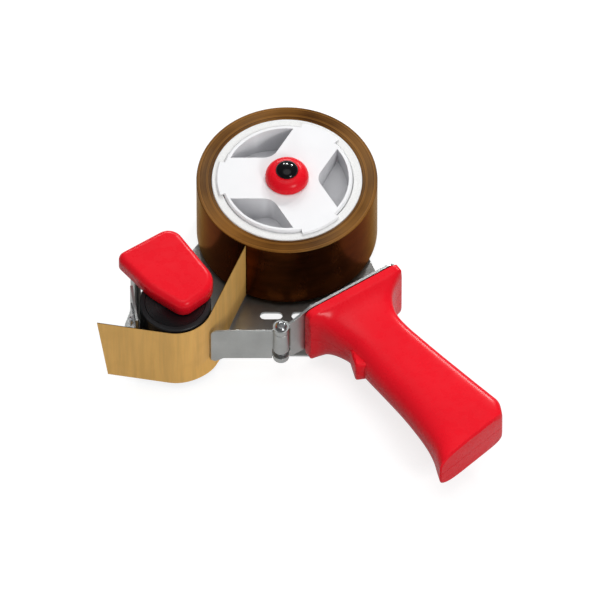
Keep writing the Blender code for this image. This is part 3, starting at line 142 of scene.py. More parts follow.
class Finish:
    """A node material under construction, with short calls for its nodes."""

    def __init__(self, name, colour, roughness, metallic=0.0):
        self.material = bpy.data.materials.new(name)
        self.material.use_nodes = True
        self.tree = self.material.node_tree
        self.shader = self.tree.nodes["Principled BSDF"]
        self.shader.inputs["Base Color"].default_value = (*colour, 1)
        self.shader.inputs["Roughness"].default_value = roughness
        self.shader.inputs["Metallic"].default_value = metallic
        self.bump = None

    def node(self, kind, **settings):
        """Add a node and set its properties."""
        made = self.tree.nodes.new(kind)
        for key, value in settings.items():
            setattr(made, key, value)
        return made

    def link(self, start, end):
        """Join two sockets."""
        self.tree.links.new(start, end)

    def set(self, **values):
        """Set uniform values on the shader's own sockets."""
        for key, value in values.items():
            self.shader.inputs[key.replace("_", " ").title().replace("Ior", "IOR")].default_value = value
        return self

    def place(self, scale=(1, 1, 1)):
        """Object coordinates in metres, stretched by a scale."""
        coordinates = self.node("ShaderNodeTexCoord")
        mapping = self.node("ShaderNodeMapping")
        mapping.inputs["Scale"].default_value = scale
        self.link(coordinates.outputs["Object"], mapping.inputs["Vector"])
        return mapping.outputs["Vector"]

    def noise(self, size, detail=3.0, scale=(1, 1, 1), roughness=0.55):
        """Noise whose main grain has this size in metres."""
        made = self.node("ShaderNodeTexNoise")
        made.inputs["Scale"].default_value = 1 / size
        made.inputs["Detail"].default_value = detail
        made.inputs["Roughness"].default_value = roughness
        self.link(self.place(scale), made.inputs["Vector"])
        return made.outputs["Fac"]

    def spread(self, value, low, high, start=0.3, end=0.7):
        """Map a value from a range to another."""
        made = self.node("ShaderNodeMapRange")
        made.inputs["From Min"].default_value = start
        made.inputs["From Max"].default_value = end
        made.inputs["To Min"].default_value = low
        made.inputs["To Max"].default_value = high
        self.link(value, made.inputs["Value"])
        return made.outputs["Result"]

    def mix(self, share, first, second):
        """Mix two colours by a share; a colour may be a socket."""
        made = self.node("ShaderNodeMix", data_type="RGBA")
        self.link(share, made.inputs[0])
        for socket, colour in ((made.inputs[6], first), (made.inputs[7], second)):
            if isinstance(colour, tuple):
                socket.default_value = (*colour, 1)
            else:
                self.link(colour, socket)
        return made.outputs[2]

    def math(self, operation, first, second=None):
        """One arithmetic step on sockets or numbers."""
        made = self.node("ShaderNodeMath", operation=operation)
        for socket, value in zip(made.inputs, (first, second)):
            if value is None:
                continue
            if isinstance(value, (int, float)):
                socket.default_value = value
            else:
                self.link(value, socket)
        return made.outputs[0]

    def colour(self, socket):
        """Drive the base colour."""
        self.link(socket, self.shader.inputs["Base Color"])
        return self

    def rough(self, socket):
        """Drive the roughness."""
        self.link(socket, self.shader.inputs["Roughness"])
        return self

    def raise_by(self, height, depth, strength=1.0):
        """Add a bump of a real depth in metres, on top of earlier ones."""
        made = self.node("ShaderNodeBump")
        made.inputs["Strength"].default_value = strength
        made.inputs["Distance"].default_value = depth
        self.link(height, made.inputs["Height"])
        if self.bump:
            self.link(self.bump.outputs["Normal"], made.inputs["Normal"])
        self.bump = made
        self.link(made.outputs["Normal"], self.shader.inputs["Normal"])
        return self


def shade(colour, factor):
    """A colour made darker or lighter."""
    return tuple(channel * factor for channel in colour)


def red_plastic():
    """Moulded red plastic with faint flow marks and a fine grain."""
    finish = Finish("red_plastic_finish", RED, 0.30)
    flow = finish.noise(0.045, 2.0)
    tint = finish.mix(finish.spread(flow, 0, 1), shade(RED, 0.95), shade(RED, 1.04))
    finish.colour(tint)
    finish.rough(finish.spread(finish.noise(0.006, 4.0), 0.24, 0.32))
    finish.raise_by(finish.noise(0.0012, 2.0), 0.000002)
    return finish.set(specular_ior_level=0.20).material


def white_plastic():
    """Satin white moulded plastic, with painted shade that darkens its pockets and other hollows."""
    finish = Finish("white_plastic_finish", WHITE_PLASTIC, 0.38)
    cloud = finish.noise(0.03, 2.0)
    tint = finish.mix(finish.spread(cloud, 0, 1), shade(WHITE_PLASTIC, 0.96), WHITE_PLASTIC)
    # Painted shade: an ambient occlusion node darkens the colour towards a grey in the pockets and other hollows
    painted_pocket_shade = finish.node("ShaderNodeAmbientOcclusion", samples=8, only_local=True)
    painted_pocket_shade.inputs["Distance"].default_value = POCKET_SHADE_REACH
    finish.colour(finish.mix(finish.spread(painted_pocket_shade.outputs["AO"], 0, 1, 0.35, 0.95), POCKET_PAINTED_SHADE, tint))
    finish.rough(finish.spread(finish.noise(0.004, 3.0), 0.32, 0.46))
    finish.raise_by(finish.noise(0.0007, 2.0), 0.00001)
    return finish.material


def steel(name, colour, grain, roughness):
    """Rolled steel with grain along one direction, dull patches and fine scratches."""
    finish = Finish(name, colour, roughness, 1.0)
    patches = finish.noise(0.018, 4.0)
    tint = finish.mix(finish.spread(patches, 0, 1), shade(colour, 0.88), shade(colour, 1.08))
    streaks = finish.noise(0.0011, 5.0, grain)
    finish.colour(finish.mix(finish.spread(streaks, 0, 0.35, 0.35, 0.7), tint, shade(colour, 0.72)))
    finish.rough(finish.spread(streaks, roughness - 0.08, roughness + 0.12))
    finish.raise_by(streaks, 0.000015)
    finish.raise_by(finish.noise(0.02, 2.0), 0.00008)
    return finish.material


def rubber():
    """Black rubber with a fine ground surface."""
    finish = Finish("rubber_finish", RUBBER, 0.30)
    grain = finish.noise(0.0006, 3.0, (1, 1, 0.25))
    finish.colour(finish.mix(finish.spread(finish.noise(0.01, 4.0), 0, 1), RUBBER, shade(RUBBER, 2.4)))
    finish.rough(finish.spread(grain, 0.28, 0.48))
    finish.raise_by(grain, 0.00002)
    return finish.material


def black_gloss():
    """Polished black plastic with faint dust."""
    finish = Finish("black_gloss_finish", BLACK, 0.08)
    dust = finish.noise(0.0012, 5.0)
    finish.rough(finish.spread(dust, 0.08, 0.18))
    finish.colour(finish.mix(finish.spread(dust, 0, 0.2, 0.55, 0.8), BLACK, (0.02, 0.02, 0.022)))
    return finish.set(specular_ior_level=0.4).material


def card():
    """White core board with fibres."""
    finish = Finish("core_card_finish", CARD, 0.85)
    fibres = finish.noise(0.0006, 5.0, (1, 1, 0.4))
    finish.colour(finish.mix(finish.spread(fibres, 0, 1), shade(CARD, 0.90), shade(CARD, 1.05)))
    finish.raise_by(fibres, 0.00004)
    return finish.material


def roller_end():
    """Black turned plastic whose fine rings spread a highlight towards the axis."""
    finish = Finish("roller_end_finish", BLACK, 0.30)
    centre = (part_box("roller_core")[0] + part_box("roller_core")[1]) / 2
    radius = radius_from(finish, centre)
    rings = finish.node("ShaderNodeTexNoise", noise_dimensions="1D")
    rings.inputs["Scale"].default_value = 1
    rings.inputs["Detail"].default_value = 4
    finish.link(finish.math("MULTIPLY", radius, 2200), rings.inputs["W"])
    finish.raise_by(rings.outputs[0], 0.00003)
    finish.rough(finish.spread(rings.outputs[0], 0.26, 0.36))
    offset = finish.node("ShaderNodeVectorMath", operation="SUBTRACT")
    coordinates = finish.node("ShaderNodeTexCoord")
    finish.link(coordinates.outputs["Object"], offset.inputs[0])
    offset.inputs[1].default_value = (centre.x, centre.y, 0)
    around = finish.node("ShaderNodeVectorMath", operation="CROSS_PRODUCT")
    around.inputs[0].default_value = (0, 0, 1)
    finish.link(offset.outputs[0], around.inputs[1])
    way = finish.node("ShaderNodeVectorMath", operation="NORMALIZE")
    finish.link(around.outputs[0], way.inputs[0])
    finish.link(way.outputs[0], finish.shader.inputs["Tangent"])
    return finish.set(anisotropic=0.9, specular_ior_level=0.5).material


def plain_detail(name, colour, roughness, metallic=0.0):
    """A small part's finish: slight mottling in colour, roughness and surface."""
    finish = Finish(name, colour, roughness, metallic)
    mottle = finish.noise(0.002, 4.0)
    finish.colour(finish.mix(finish.spread(mottle, 0, 1), shade(colour, 0.85), shade(colour, 1.1)))
    finish.rough(finish.spread(mottle, roughness * 0.8, min(1, roughness * 1.2)))
    finish.raise_by(mottle, 0.00001)
    return finish.material


def radius_from(finish, centre=(0, 0)):
    """Distance from an upright axis."""
    coordinates = finish.node("ShaderNodeTexCoord")
    parts = finish.node("ShaderNodeSeparateXYZ")
    finish.link(coordinates.outputs["Object"], parts.inputs[0])
    x = finish.math("SUBTRACT", parts.outputs[0], centre[0])
    y = finish.math("SUBTRACT", parts.outputs[1], centre[1])
    square = finish.math("ADD", finish.math("MULTIPLY", x, x), finish.math("MULTIPLY", y, y))
    return finish.math("SQRT", square)


def wound_edge():
    """Cut face of the wound tape: fine concentric layers with drifting tone."""
    finish = Finish("wound_edge_finish", TAPE_EDGE, 0.38)
    radius = radius_from(finish)
    rings = finish.node("ShaderNodeTexNoise", noise_dimensions="1D")
    rings.inputs["Scale"].default_value = 1
    rings.inputs["Detail"].default_value = 6
    finish.link(finish.math("MULTIPLY", radius, 1600), rings.inputs["W"])
    wide = finish.node("ShaderNodeTexNoise", noise_dimensions="1D")
    wide.inputs["Scale"].default_value = 1
    wide.inputs["Detail"].default_value = 2
    finish.link(finish.math("MULTIPLY", radius, 420), wide.inputs["W"])
    tone = finish.math("MULTIPLY", rings.outputs[0], 0.40)
    tone = finish.math("ADD", tone, finish.math("MULTIPLY", wide.outputs[0], 0.55))
    tone = finish.math("ADD", tone, finish.math("MULTIPLY", finish.noise(0.045, 2.0), 0.55))
    finish.colour(finish.mix(finish.spread(tone, 0, 1, 0.64, 0.86), TAPE_EDGE_DARK, TAPE_EDGE))
    finish.raise_by(rings.outputs[0], 0.00005)
    tangent = finish.node("ShaderNodeTangent", direction_type="RADIAL", axis="Z")
    finish.link(tangent.outputs[0], finish.shader.inputs["Tangent"])
    finish.set(specular_tint=(*shade(TAPE_SHEEN, 1.2), 1))
    return finish.set(anisotropic=0.9, specular_ior_level=0.45).material


def wound_side():
    """Outside of the wound tape: deep brown film with a tan sheen over slightly uneven turns."""
    finish = Finish("wound_side_finish", TAPE_DEEP, 0.26, 0.9)
    drift = finish.noise(0.03, 3.0, (1, 1, 3))
    finish.colour(finish.mix(finish.spread(drift, 0, 1), shade(TAPE_DEEP, 0.6), shade(TAPE_DEEP, 1.9)))
    finish.rough(finish.spread(finish.noise(0.008, 4.0, (1, 1, 0.3)), 0.18, 0.30))
    finish.raise_by(finish.noise(0.012, 2.0, (1, 1, 0.2)), 0.00005)
    finish.set(specular_ior_level=0.5, specular_tint=(*TAPE_SHEEN, 1))
    return finish.set(sheen_weight=0.20, sheen_roughness=0.25, sheen_tint=(*TAPE_SHEEN, 1)).material


def tape_film():
    """Drawn tape: tan film with faint creases across it and soft blotches."""
    finish = Finish("tape_film_finish", TAPE_TAN, 0.24)
    creases = finish.noise(0.0030, 3.0, (1, 1, 0.06))
    blotches = finish.noise(0.012, 4.0)
    tint = finish.mix(finish.spread(creases, 0, 1), shade(TAPE_TAN, 0.88), shade(TAPE_TAN, 1.07))
    finish.colour(finish.mix(finish.spread(blotches, 0, 0.3, 0.5, 0.75), tint, shade(TAPE_TAN, 0.80)))
    finish.rough(finish.spread(blotches, 0.38, 0.46))
    finish.raise_by(creases, 0.00005)
    coordinates = finish.node("ShaderNodeNewGeometry")
    along = finish.node("ShaderNodeVectorMath", operation="CROSS_PRODUCT")
    finish.link(coordinates.outputs["True Normal"], along.inputs[0])
    along.inputs[1].default_value = (0, 0, 1)
    finish.link(along.outputs[0], finish.shader.inputs["Tangent"])
    return finish.set(anisotropic=1, specular_ior_level=0.8, specular_tint=(1, 0.82, 0.55, 1)).material


# Meshes

def add_piece(name, bm, materials, body, replaced=(), smooth=math.radians(32)):
    """Put a mesh into the scene on its CAD body."""
    bmesh.ops.recalc_face_normals(bm, faces=bm.faces)
    mesh = bpy.data.meshes.new(name)
    bm.to_mesh(mesh)
    bm.free()
    mesh.shade_smooth()
    mesh.set_sharp_from_angle(angle=smooth)
    piece = bpy.data.objects.new(name, mesh)
    bpy.context.scene.collection.objects.link(piece)
    for material in materials:
        mesh.materials.append(material)
    return settle(piece, body, replaced)


def settle(piece, body, replaced=()):
    """Make a piece ride on its body, in place of the CAD nodes that it stands for."""
    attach(piece, body)
    if replaced:
        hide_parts(*replaced)
    return piece


def skin(bm, rings, closed_ends=True, loop=True):
    """Join equal rings of points with faces and return the new faces."""
    faces = []
    made = [[bm.verts.new(point) for point in ring] for ring in rings]
    count = len(made[0])
    for low, high in zip(made, made[1:]):
        for i in range(count if loop else count - 1):
            j = (i + 1) % count
            faces.append(bm.faces.new((low[i], low[j], high[j], high[i])))
    if closed_ends:
        faces.append(bm.faces.new(made[0]))
        faces.append(bm.faces.new(made[-1]))
    return faces


def lathe(bm, profile, segments, centre=(0, 0), index_of=None):
    """Revolve a closed (radius, height) profile; index_of gives a face's material from its heights."""
    rings = []
    for radius, height in profile:
        if radius == 0:
            rings.append([bm.verts.new((centre[0], centre[1], height))])
            continue
        ring = []
        for i in range(segments):
            angle = math.tau * i / segments
            ring.append(bm.verts.new((centre[0] + radius * math.cos(angle),
                                      centre[1] + radius * math.sin(angle), height)))
        rings.append(ring)
    for k, ring in enumerate(rings):
        other = rings[(k + 1) % len(rings)]
        if len(ring) == 1 and len(other) == 1:
            continue
        for i in range(segments):
            j = (i + 1) % segments
            if len(ring) == 1:
                face = bm.faces.new((ring[0], other[j], other[i]))
            elif len(other) == 1:
                face = bm.faces.new((ring[i], ring[j], other[0]))
            else:
                face = bm.faces.new((ring[i], ring[j], other[j], other[i]))
            if index_of:
                face.material_index = index_of(profile[k], profile[(k + 1) % len(profile)])


def arc(centre, radius, start, end, steps):
    """Points along an arc, both ends included."""
    points = []
    for i in range(steps + 1):
        angle = start + (end - start) * i / steps
        points.append((centre[0] + radius * math.cos(angle), centre[1] + radius * math.sin(angle)))
    return points


def rounded_outline(corners, steps=12):
    """Turn (x, y, radius) corners into an outline with an arc at each corner."""
    outline = []
    for i, (x, y, radius) in enumerate(corners):
        here = Vector((x, y))
        if radius == 0:
            outline.append((x, y))
            continue
        before = (Vector(corners[i - 1][:2]) - here).normalized()
        after = (Vector(corners[(i + 1) % len(corners)][:2]) - here).normalized()
        half_angle = before.angle(after) / 2
        reach = radius / math.tan(half_angle)
        centre = here + (before + after).normalized() * radius / math.sin(half_angle)
        first = here + before * reach - centre
        last = here + after * reach - centre
        start = math.atan2(first.y, first.x)
        sweep = math.atan2(last.y, last.x) - start
        sweep = (sweep + math.pi) % math.tau - math.pi
        outline += arc(centre, radius, start, start + sweep, steps)
    return outline


def inset_corners(corners, distance):
    """Move the edges of an anticlockwise outline of corners inwards."""
    moved = []
    for i, (x, y, radius) in enumerate(corners):
        here = Vector((x, y))
        along_in = (here - Vector(corners[i - 1][:2])).normalized()
        along_out = (Vector(corners[(i + 1) % len(corners)][:2]) - here).normalized()
        normal_in = Vector((-along_in.y, along_in.x))
        normal_out = Vector((-along_out.y, along_out.x))
        shift = (normal_in + normal_out) * distance / (1 + normal_in.dot(normal_out))
        turn = along_in.x * along_out.y - along_in.y * along_out.x
        new_radius = radius - distance if turn > 0 else radius + distance
        moved.append((x + shift.x, y + shift.y, max(new_radius, radius / 4)))
    return moved


def softened(name, source, body, material, width, segments=3, angle=40):
    """A copy of a CAD node's mesh with its edges rounded, in place of that node."""
    bm = bmesh.new()
    bm.from_mesh(NODES[source].data)
    bmesh.ops.remove_doubles(bm, verts=bm.verts, dist=1e-6)
    bmesh.ops.dissolve_limit(bm, angle_limit=math.radians(1), verts=bm.verts, edges=bm.edges)
    piece = add_piece(name, bm, [material], body, (source,), math.radians(angle))
    edge = piece.modifiers.new("edge", "BEVEL")
    edge.width = width
    edge.segments = segments
    edge.limit_method = "ANGLE"
    edge.angle_limit = math.radians(angle)
    edge.harden_normals = False
    return piece


def carved(piece, joined=(), cutters=()):
    """Fuse and cut a piece with other shapes, and keep only the result."""
    tools = [(tool, "UNION") for tool in joined] + [(tool, "DIFFERENCE") for tool in cutters]
    for tool, operation in tools:
        step = piece.modifiers.new("carve", "BOOLEAN")
        step.operation = operation
        step.solver = "EXACT"
        step.object = tool
    view = bpy.context.evaluated_depsgraph_get()
    mesh = bpy.data.meshes.new_from_object(piece.evaluated_get(view), depsgraph=view)
    piece.modifiers.clear()
    piece.data = mesh
    mesh.set_sharp_from_angle(angle=math.radians(32))
    for tool, _ in tools:
        bpy.data.objects.remove(tool, do_unlink=True)
    return piece


def loose(name, bm):
    """A plain object for a tool shape."""
    bmesh.ops.recalc_face_normals(bm, faces=bm.faces)
    mesh = bpy.data.meshes.new(name)
    bm.to_mesh(mesh)
    bm.free()
    made = bpy.data.objects.new(name, mesh)
    bpy.context.scene.collection.objects.link(made)
    return made


# Roll, knob, cover and roller

def make_roll():
    """The wound tape and its core, with small edges and a wound face."""
    low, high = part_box("tape_roll")
    core_low, core_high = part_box("tape_core")
    outer = high.y
    core = core_high.x
    edge = ROLL_EDGE
    profile = [
        (core + GAP, low.z + edge), (core + GAP + edge, low.z), (outer - edge, low.z), (outer, low.z + edge),
        (outer, high.z - edge), (outer - edge, high.z), (core + GAP + edge, high.z), (core + GAP, high.z - edge),
    ]
    bm = bmesh.new()
    lathe(bm, profile, FINE, index_of=lambda a, b: 1 if a[0] == b[0] == outer else 0)
    add_piece("roll_fine", bm, [FINISHES["edge"], FINISHES["side"]], "roll_hub", ("tape_roll",))
    profile = [
        (CORE_BORE, low.z + edge), (CORE_BORE + edge, low.z), (core - edge, low.z), (core, low.z + edge),
        (core, high.z - edge), (core - edge, high.z), (CORE_BORE + edge, high.z), (CORE_BORE, high.z - edge),
    ]
    bm = bmesh.new()
    lathe(bm, profile, FINE)
    add_piece("core_fine", bm, [FINISHES["card"]], "roll_hub", ("tape_core",))


def make_knob():
    """Brake knob with a round shoulder, and its domed cap."""
    low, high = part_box("tension_knob")
    outer = high.x
    cap_low, cap_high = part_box("knob_cap")
    cap = cap_high.x
    bottom = KNOB_SKIRT
    round_by = high.z - bottom - KNOB_ROUND_START
    inner = outer - KNOB_WALL
    profile = [(0, bottom + KNOB_HOLLOW), (inner, bottom + KNOB_HOLLOW), (inner, bottom)]
    profile += [(outer - KNOB_EDGE, bottom), (outer, bottom + KNOB_EDGE)]
    profile += arc((outer - round_by, high.z - round_by), round_by, 0, math.pi / 2, 24)
    profile += [(cap + GAP + GAP, high.z), (cap + GAP, high.z - GAP)]
    profile += [(cap + GAP, cap_low.z), (0, cap_low.z)]
    bm = bmesh.new()
    lathe(bm, profile, MEDIUM)
    add_piece("knob_fine", bm, [FINISHES["red"]], "brake_knob", ("tension_knob",))
    profile = [(0, cap_low.z + GAP), (cap, cap_low.z + GAP), (cap, high.z)]
    rise = cap_high.z - high.z
    for i in range(1, 24):
        angle = math.pi / 2 * i / 24
        profile.append((cap * math.cos(angle), high.z + rise * math.sin(angle)))
    profile.append((0, cap_high.z))
    bm = bmesh.new()
    lathe(bm, profile, MEDIUM)
    add_piece("cap_fine", bm, [FINISHES["black"]], "brake_knob", ("knob_cap",))


def make_sleeve():
    """Rubber sleeve of the front roller, with rounded ends."""
    low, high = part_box("roller_sleeve")
    centre = ((low.x + high.x) / 2, (low.y + high.y) / 2)
    outer = (high.x - low.x) / 2
    inner = outer - SLEEVE_WALL
    edge = SLEEVE_EDGE
    profile = [(inner, low.z), (outer - edge, low.z)]
    profile += arc((outer - edge, low.z + edge), edge, -math.pi / 2, 0, 6)
    profile += arc((outer - edge, high.z - edge), edge, 0, math.pi / 2, 6)
    profile += [(inner, high.z)]
    bm = bmesh.new()
    lathe(bm, profile, FINE, centre)
    add_piece("sleeve_fine", bm, [FINISHES["rubber"]], "front_roller", ("roller_sleeve",))


def make_cover():
    """Roller cover: a shell with a softly rounded top edge."""
    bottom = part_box("end_cover")[0].z
    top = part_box("end_cover")[1].z
    rings = []
    inside = rounded_outline(inset_corners(COVER_CORNERS, COVER_WALL))
    rings.append([(x, y, top - COVER_WALL) for x, y in inside])
    rings.append([(x, y, bottom) for x, y in inside])
    for inset, height in ((COVER_RIM_EDGE, bottom), (0, bottom + COVER_RIM_EDGE)):
        shape = rounded_outline(inset_corners(COVER_CORNERS, inset))
        rings.append([(x, y, height) for x, y in shape])
    for i in range(17):
        angle = math.pi / 2 * i / 16
        shape = rounded_outline(inset_corners(COVER_CORNERS, COVER_EDGE * (1 - math.cos(angle))))
        z = top - COVER_EDGE * (1 - math.sin(angle))
        rings.append([(x, y, z) for x, y in shape])
    bm = bmesh.new()
    skin(bm, rings)
    add_piece("cover_fine", bm, [FINISHES["red"]], "frame", ("end_cover",), math.radians(50))


# Handle

def between(rows, place):
    """Row of sizes at a place, along a smooth curve through the rows."""
    last = len(rows) - 1
    for i in range(last):
        if place <= rows[i + 1][0]:
            break
    before, start, end, after = rows[max(i - 1, 0)], rows[i], rows[i + 1], rows[min(i + 2, last)]
    share = (place - start[0]) / (end[0] - start[0])
    row = [place]
    for k in range(1, len(start)):
        slope_in = (end[k] - before[k]) / (end[0] - before[0])
        slope_out = (after[k] - start[k]) / (after[0] - start[0])
        width = end[0] - start[0]
        square = share * share
        cube = square * share
        row.append((2 * cube - 3 * square + 1) * start[k] + (cube - 2 * square + share) * slope_in * width
                   + (3 * square - 2 * cube) * end[k] + (cube - square) * slope_out * width)
    return row


def handle_rings():
    """Sections of the handle from the base plate to the heel."""
    rows = [(BASE_Y, BASE_TRIM), (BASE_Y - BASE_TRIM, 0), (GRIP_Y + BASE_EDGE, 0)]
    rings = []
    for y, trim in rows:
        size = (BASE_FRONT_X + trim, BASE_REAR_X - trim, BASE_HALF_HEIGHT - trim, BASE_POWER, BASE_POWER, 0)
        rings.append(section_ring(y, *size))
    for i in range(GRIP_STEPS + 1):
        along = i / GRIP_STEPS
        _, front, rear, half, front_power, rear_power, slant = between(GRIP_SHARES, along)
        ends = max(0, (along - HEEL_START) / (1 - HEEL_START))
        trim = HEEL_ROUND * (1 - math.sqrt(max(0, 1 - ends * ends)))
        size = (front * GRIP_DEPTH + trim, rear * GRIP_DEPTH - trim, half * GRIP_HALF_THICKNESS - trim)
        rings.append(section_ring(GRIP_Y - along * GRIP_LENGTH, *size, front_power, rear_power, slant))
    return rings


def section_ring(y, front, rear, half, front_power, rear_power, slant):
    """One rounded section of the handle, squarer at the rear than at the front."""
    middle = (front + rear) / 2
    reach = (rear - front) / 2
    ring = []
    for i in range(SECTION_POINTS):
        angle = math.tau * (i + 1 / 2) / SECTION_POINTS
        c = math.cos(angle)
        s = math.sin(angle)
        power = rear_power * REAR_CRISP if c > 0 else front_power
        scale = (abs(c) ** power + abs(s) ** power) ** (-1 / power)
        across = reach * c * scale
        ring.append((middle + across, y + slant * across, HANDLE_MID_Z + half * s * scale))
    return ring


def make_handle():
    """Both moulded halves with a fine parting line, and the screw recesses in the lower one."""
    for name, side in (("handle_half_open_side", 1), ("handle_half_plate_side", -1)):
        bm = bmesh.new()
        skin(bm, handle_rings())
        half = loose(name + "_fine", bm)
        spur = bmesh.new()
        rings = []
        for height, inset in ((-1, 1), (-0.9, 0.3), (-0.8, 0), (0.8, 0), (0.9, 0.3), (1, 1)):
            shape = inset_corners(SPUR_CORNERS, SPUR_EDGE * inset)
            z = HANDLE_MID_Z + height * SPUR_HALF_THICKNESS
            rings.append([(x, y, z) for x, y in rounded_outline(shape)])
        skin(spur, rings)
        block = bmesh.new()
        bmesh.ops.create_cube(block, size=1)
        middle = Vector((0, CUT_AWAY_Y, HANDLE_MID_Z - side * (CUT_AWAY[2] / 2 - PARTING / 2)))
        for vert in block.verts:
            vert.co = vert.co * Vector(CUT_AWAY) + middle
        cutters = [loose("cut_away", block)]
        if side < 0:
            for number in (1, 2, 3):
                low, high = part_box(f"handle_screw_{number}")
                centre = ((low.x + high.x) / 2, (low.y + high.y) / 2)
                recess = bmesh.new()
                reach = (high.x - low.x) / 2 + GAP
                top = low.z + SCREW_RECESS
                lathe(recess, [(0, 0), (reach, 0), (reach, top), (0, top)], RECESS_SIDES, centre)
                cutters.append(loose("recess", recess))
        carved(half, [loose("spur", spur)], cutters)
        half.data.materials.clear()
        half.data.materials.append(FINISHES["red"])
        settle(half, "frame", (name,))


# Light, floor and camera

def seen_directly(finish):
    """How much of the floor's own glow a ray shows: all of it to the camera, less in mirrors."""
    path = finish.node("ShaderNodeLightPath")
    mirrored = finish.math("MULTIPLY", path.outputs["Is Glossy Ray"], MIRROR_SHARE)
    share = finish.math("MAXIMUM", path.outputs["Is Camera Ray"], mirrored)
    return finish.math("MAXIMUM", share, path.outputs["Is Transmission Ray"])


def add_floor():
    """A wide grey sheet whose glow makes it white to the camera, with a soft shadow left."""
    finish = Finish("floor_finish", FLOOR_GREY, 0.9)
    glow = finish.node("ShaderNodeEmission")
    glow.inputs["Color"].default_value = (1, 1, 1, 1)
    finish.link(finish.math("MULTIPLY", seen_directly(finish), FLOOR_GLOW), glow.inputs["Strength"])
    added = finish.node("ShaderNodeAddShader")
    finish.link(finish.shader.outputs[0], added.inputs[0])
    finish.link(glow.outputs[0], added.inputs[1])
    finish.link(added.outputs[0], finish.tree.nodes["Material Output"].inputs["Surface"])
    finish.set(specular_ior_level=0)
    bm = bmesh.new()
    bmesh.ops.create_grid(bm, x_segments=1, y_segments=1, size=FLOOR_HALF)
    mesh = bpy.data.meshes.new("floor")
    bm.to_mesh(mesh)
    bm.free()
    mesh.materials.append(finish.material)
    floor = bpy.data.objects.new("floor", mesh)
    floor.location.z = -0.0002
    bpy.context.scene.collection.objects.link(floor)
    return floor


def add_lamp(name, direction, size, power):
    """A soft rectangular lamp in a direction from the part, aimed at it."""
    place = LAMP_AIM + Vector(direction).normalized() * LAMP_DISTANCE
    lamp = bpy.data.lights.new(name, "AREA")
    lamp.shape = "RECTANGLE"
    lamp.size, lamp.size_y = size
    lamp.energy = power
    made = bpy.data.objects.new(name, lamp)
    made.location = place
    made.rotation_euler = (place - LAMP_AIM).to_track_quat("Z", "Y").to_euler()
    bpy.context.scene.collection.objects.link(made)
    return made


def set_world():
    """Even studio light, brightest overhead and dimmer in mirrors; the camera sees white."""
    world = bpy.data.worlds.new("studio")
    world.use_nodes = True
    bpy.context.scene.world = world
    tree = world.node_tree
    coordinates = tree.nodes.new("ShaderNodeTexCoord")
    parts = tree.nodes.new("ShaderNodeSeparateXYZ")
    tree.links.new(coordinates.outputs["Generated"], parts.inputs[0])
    height = tree.nodes.new("ShaderNodeMapRange")
    height.inputs["From Min"].default_value = OVERHEAD_START
    height.inputs["From Max"].default_value = OVERHEAD_FULL
    height.inputs["To Min"].default_value = WORLD_SIDE
    height.inputs["To Max"].default_value = WORLD_TOP
    tree.links.new(parts.outputs[2], height.inputs["Value"])
    towards = tree.nodes.new("ShaderNodeVectorMath")
    towards.operation = "DOT_PRODUCT"
    towards.inputs[1].default_value = (math.sin(VIEW_AZIMUTH), -math.cos(VIEW_AZIMUTH), 0)
    tree.links.new(coordinates.outputs["Generated"], towards.inputs[0])
    front = tree.nodes.new("ShaderNodeMapRange")
    front.inputs["From Min"].default_value = -0.2
    front.inputs["From Max"].default_value = 0.9
    front.inputs["To Min"].default_value = 1
    front.inputs["To Max"].default_value = WORLD_FRONT
    tree.links.new(towards.outputs["Value"], front.inputs["Value"])
    both = tree.nodes.new("ShaderNodeMath")
    both.operation = "MULTIPLY"
    tree.links.new(height.outputs["Result"], both.inputs[0])
    tree.links.new(front.outputs["Result"], both.inputs[1])
    path = tree.nodes.new("ShaderNodeLightPath")
    dimmed = tree.nodes.new("ShaderNodeMath")
    dimmed.operation = "MULTIPLY"
    tree.links.new(both.outputs[0], dimmed.inputs[0])
    dimmed.inputs[1].default_value = MIRROR_SHARE
    mirrored = tree.nodes.new("ShaderNodeMix")
    tree.links.new(path.outputs["Is Glossy Ray"], mirrored.inputs[0])
    tree.links.new(both.outputs[0], mirrored.inputs[2])
    tree.links.new(dimmed.outputs[0], mirrored.inputs[3])
    seen = tree.nodes.new("ShaderNodeMix")
    tree.links.new(path.outputs["Is Camera Ray"], seen.inputs[0])
    tree.links.new(mirrored.outputs[0], seen.inputs[2])
    seen.inputs[3].default_value = 1
    backdrop = tree.nodes["Background"]
    backdrop.inputs["Color"].default_value = (1, 1, 1, 1)
    tree.links.new(seen.outputs[0], backdrop.inputs["Strength"])


def add_camera():
    """The long lens of the photograph."""
    lens = bpy.data.cameras.new("main")
    lens.lens = LENS_MM
    lens.sensor_width = SENSOR_MM
    camera = bpy.data.objects.new("main", lens)
    back = Vector((math.sin(VIEW_AZIMUTH) * math.cos(VIEW_ELEVATION),
                   -math.cos(VIEW_AZIMUTH) * math.cos(VIEW_ELEVATION), math.sin(VIEW_ELEVATION)))
    camera.location = VIEW_TARGET + back * (VIEW_WIDTH * LENS_MM / SENSOR_MM)
    camera.rotation_euler = back.to_track_quat("Z", "Y").to_euler()
    bpy.context.scene.collection.objects.link(camera)
    bpy.context.scene.camera = camera


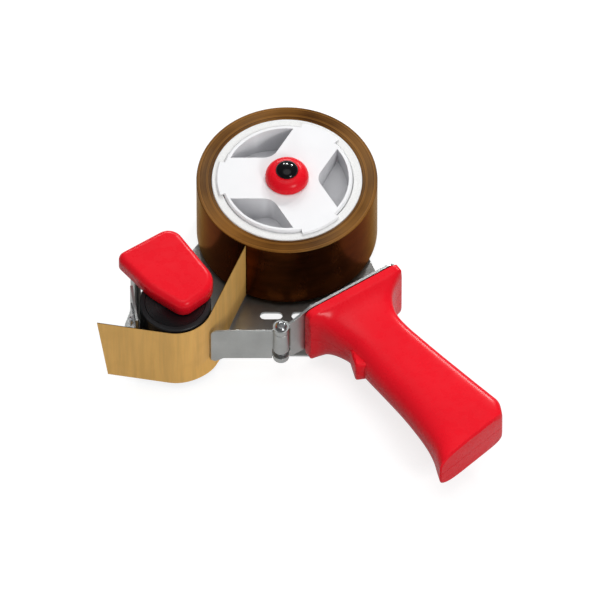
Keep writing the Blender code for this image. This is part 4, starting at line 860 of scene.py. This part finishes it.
FLOOR_HALF = 8
LAMP_AIM = Vector((-0.03, -0.06, 0.03))
LAMP_DISTANCE = 1.5
LAMPS = [
    ("heel_light", (0.05, -0.82, 0.55), (0.35, 0.35), 7.5),
    ("rear_light", (0.478, 0.722, 0.50), (0.10, 0.16), 4),
    ("edge_light", (0.70, 0.49, 0.52), (0.12, 0.12), 5),
    ("cover_light", (0.324, 0.83, 0.455), (0.10, 0.10), 2),
]
FLOOR_GLOW = 0.78
MIRROR_SHARE = 0.35
OVERHEAD_START = 0.90
OVERHEAD_FULL = 0.96
WORLD_SIDE = 0.32
WORLD_TOP = 2.5
WORLD_FRONT = 0.90

FINISHES = {
    "side_plate": steel("plate_steel", STEEL, (1, 12, 1), 0.34),
    "check_plate": steel("check_steel", STEEL, (1, 1, 12), 0.36),
    "red": red_plastic(),
    "white": white_plastic(),
    "bright": plain_detail("bright_steel_finish", BRIGHT_STEEL, 0.24, 1.0),
    "black": black_gloss(),
    "rubber": rubber(),
    "card": card(),
    "film": tape_film(),
    "edge": wound_edge(),
    "side": wound_side(),
    "roller_end": roller_end(),
    "brass": plain_detail("brass_finish", BRASS, 0.3, 1.0),
    "fibre": plain_detail("fibre_finish", FIBRE, 0.8),
    "nylon": plain_detail("nylon_finish", NYLON, 0.45),
}
SOFTENED = [
    ("core_hub", "roll_hub", "white_plastic", 0.0009),
    ("side_plate", "frame", "plated_steel", 0.00025),
    ("check_plate", "check_hinge", "plated_steel", 0.0003),
    ("check_pin", "frame", "bright_steel", 0.0003),
]
NODE_FINISHES = {
    "side_plate": "side_plate", "check_plate": "check_plate", "cover_post": "side_plate",
    "handle_half_open_side": "red", "handle_half_plate_side": "red", "end_cover": "red", "tension_knob": "red",
    "core_hub": "white", "knob_cap": "black", "roller_sleeve": "rubber", "tape_core": "card",
    "tape_roll": "edge", "tape_tail": "film", "knob_insert": "brass", "hub_friction_washer": "fibre",
    "hub_bushing": "nylon", "roller_core": "roller_end",
}

for node_name, node in NODES.items():
    finish_name = NODE_FINISHES.get(node_name, "bright")
    node.data.materials.clear()
    node.data.materials.append(FINISHES[finish_name])

make_roll()
make_knob()
make_handle()
make_cover()
make_sleeve()
for node_name, body, slot, width in SOFTENED:
    finish_name = NODE_FINISHES.get(node_name, "bright")
    softened(node_name + "_fine", node_name, body, FINISHES[finish_name], width)

floor_sheet = add_floor()
lamps = [add_lamp(*row) for row in LAMPS]
set_world()
add_camera()
bpy.context.scene.view_settings.view_transform = "Standard"
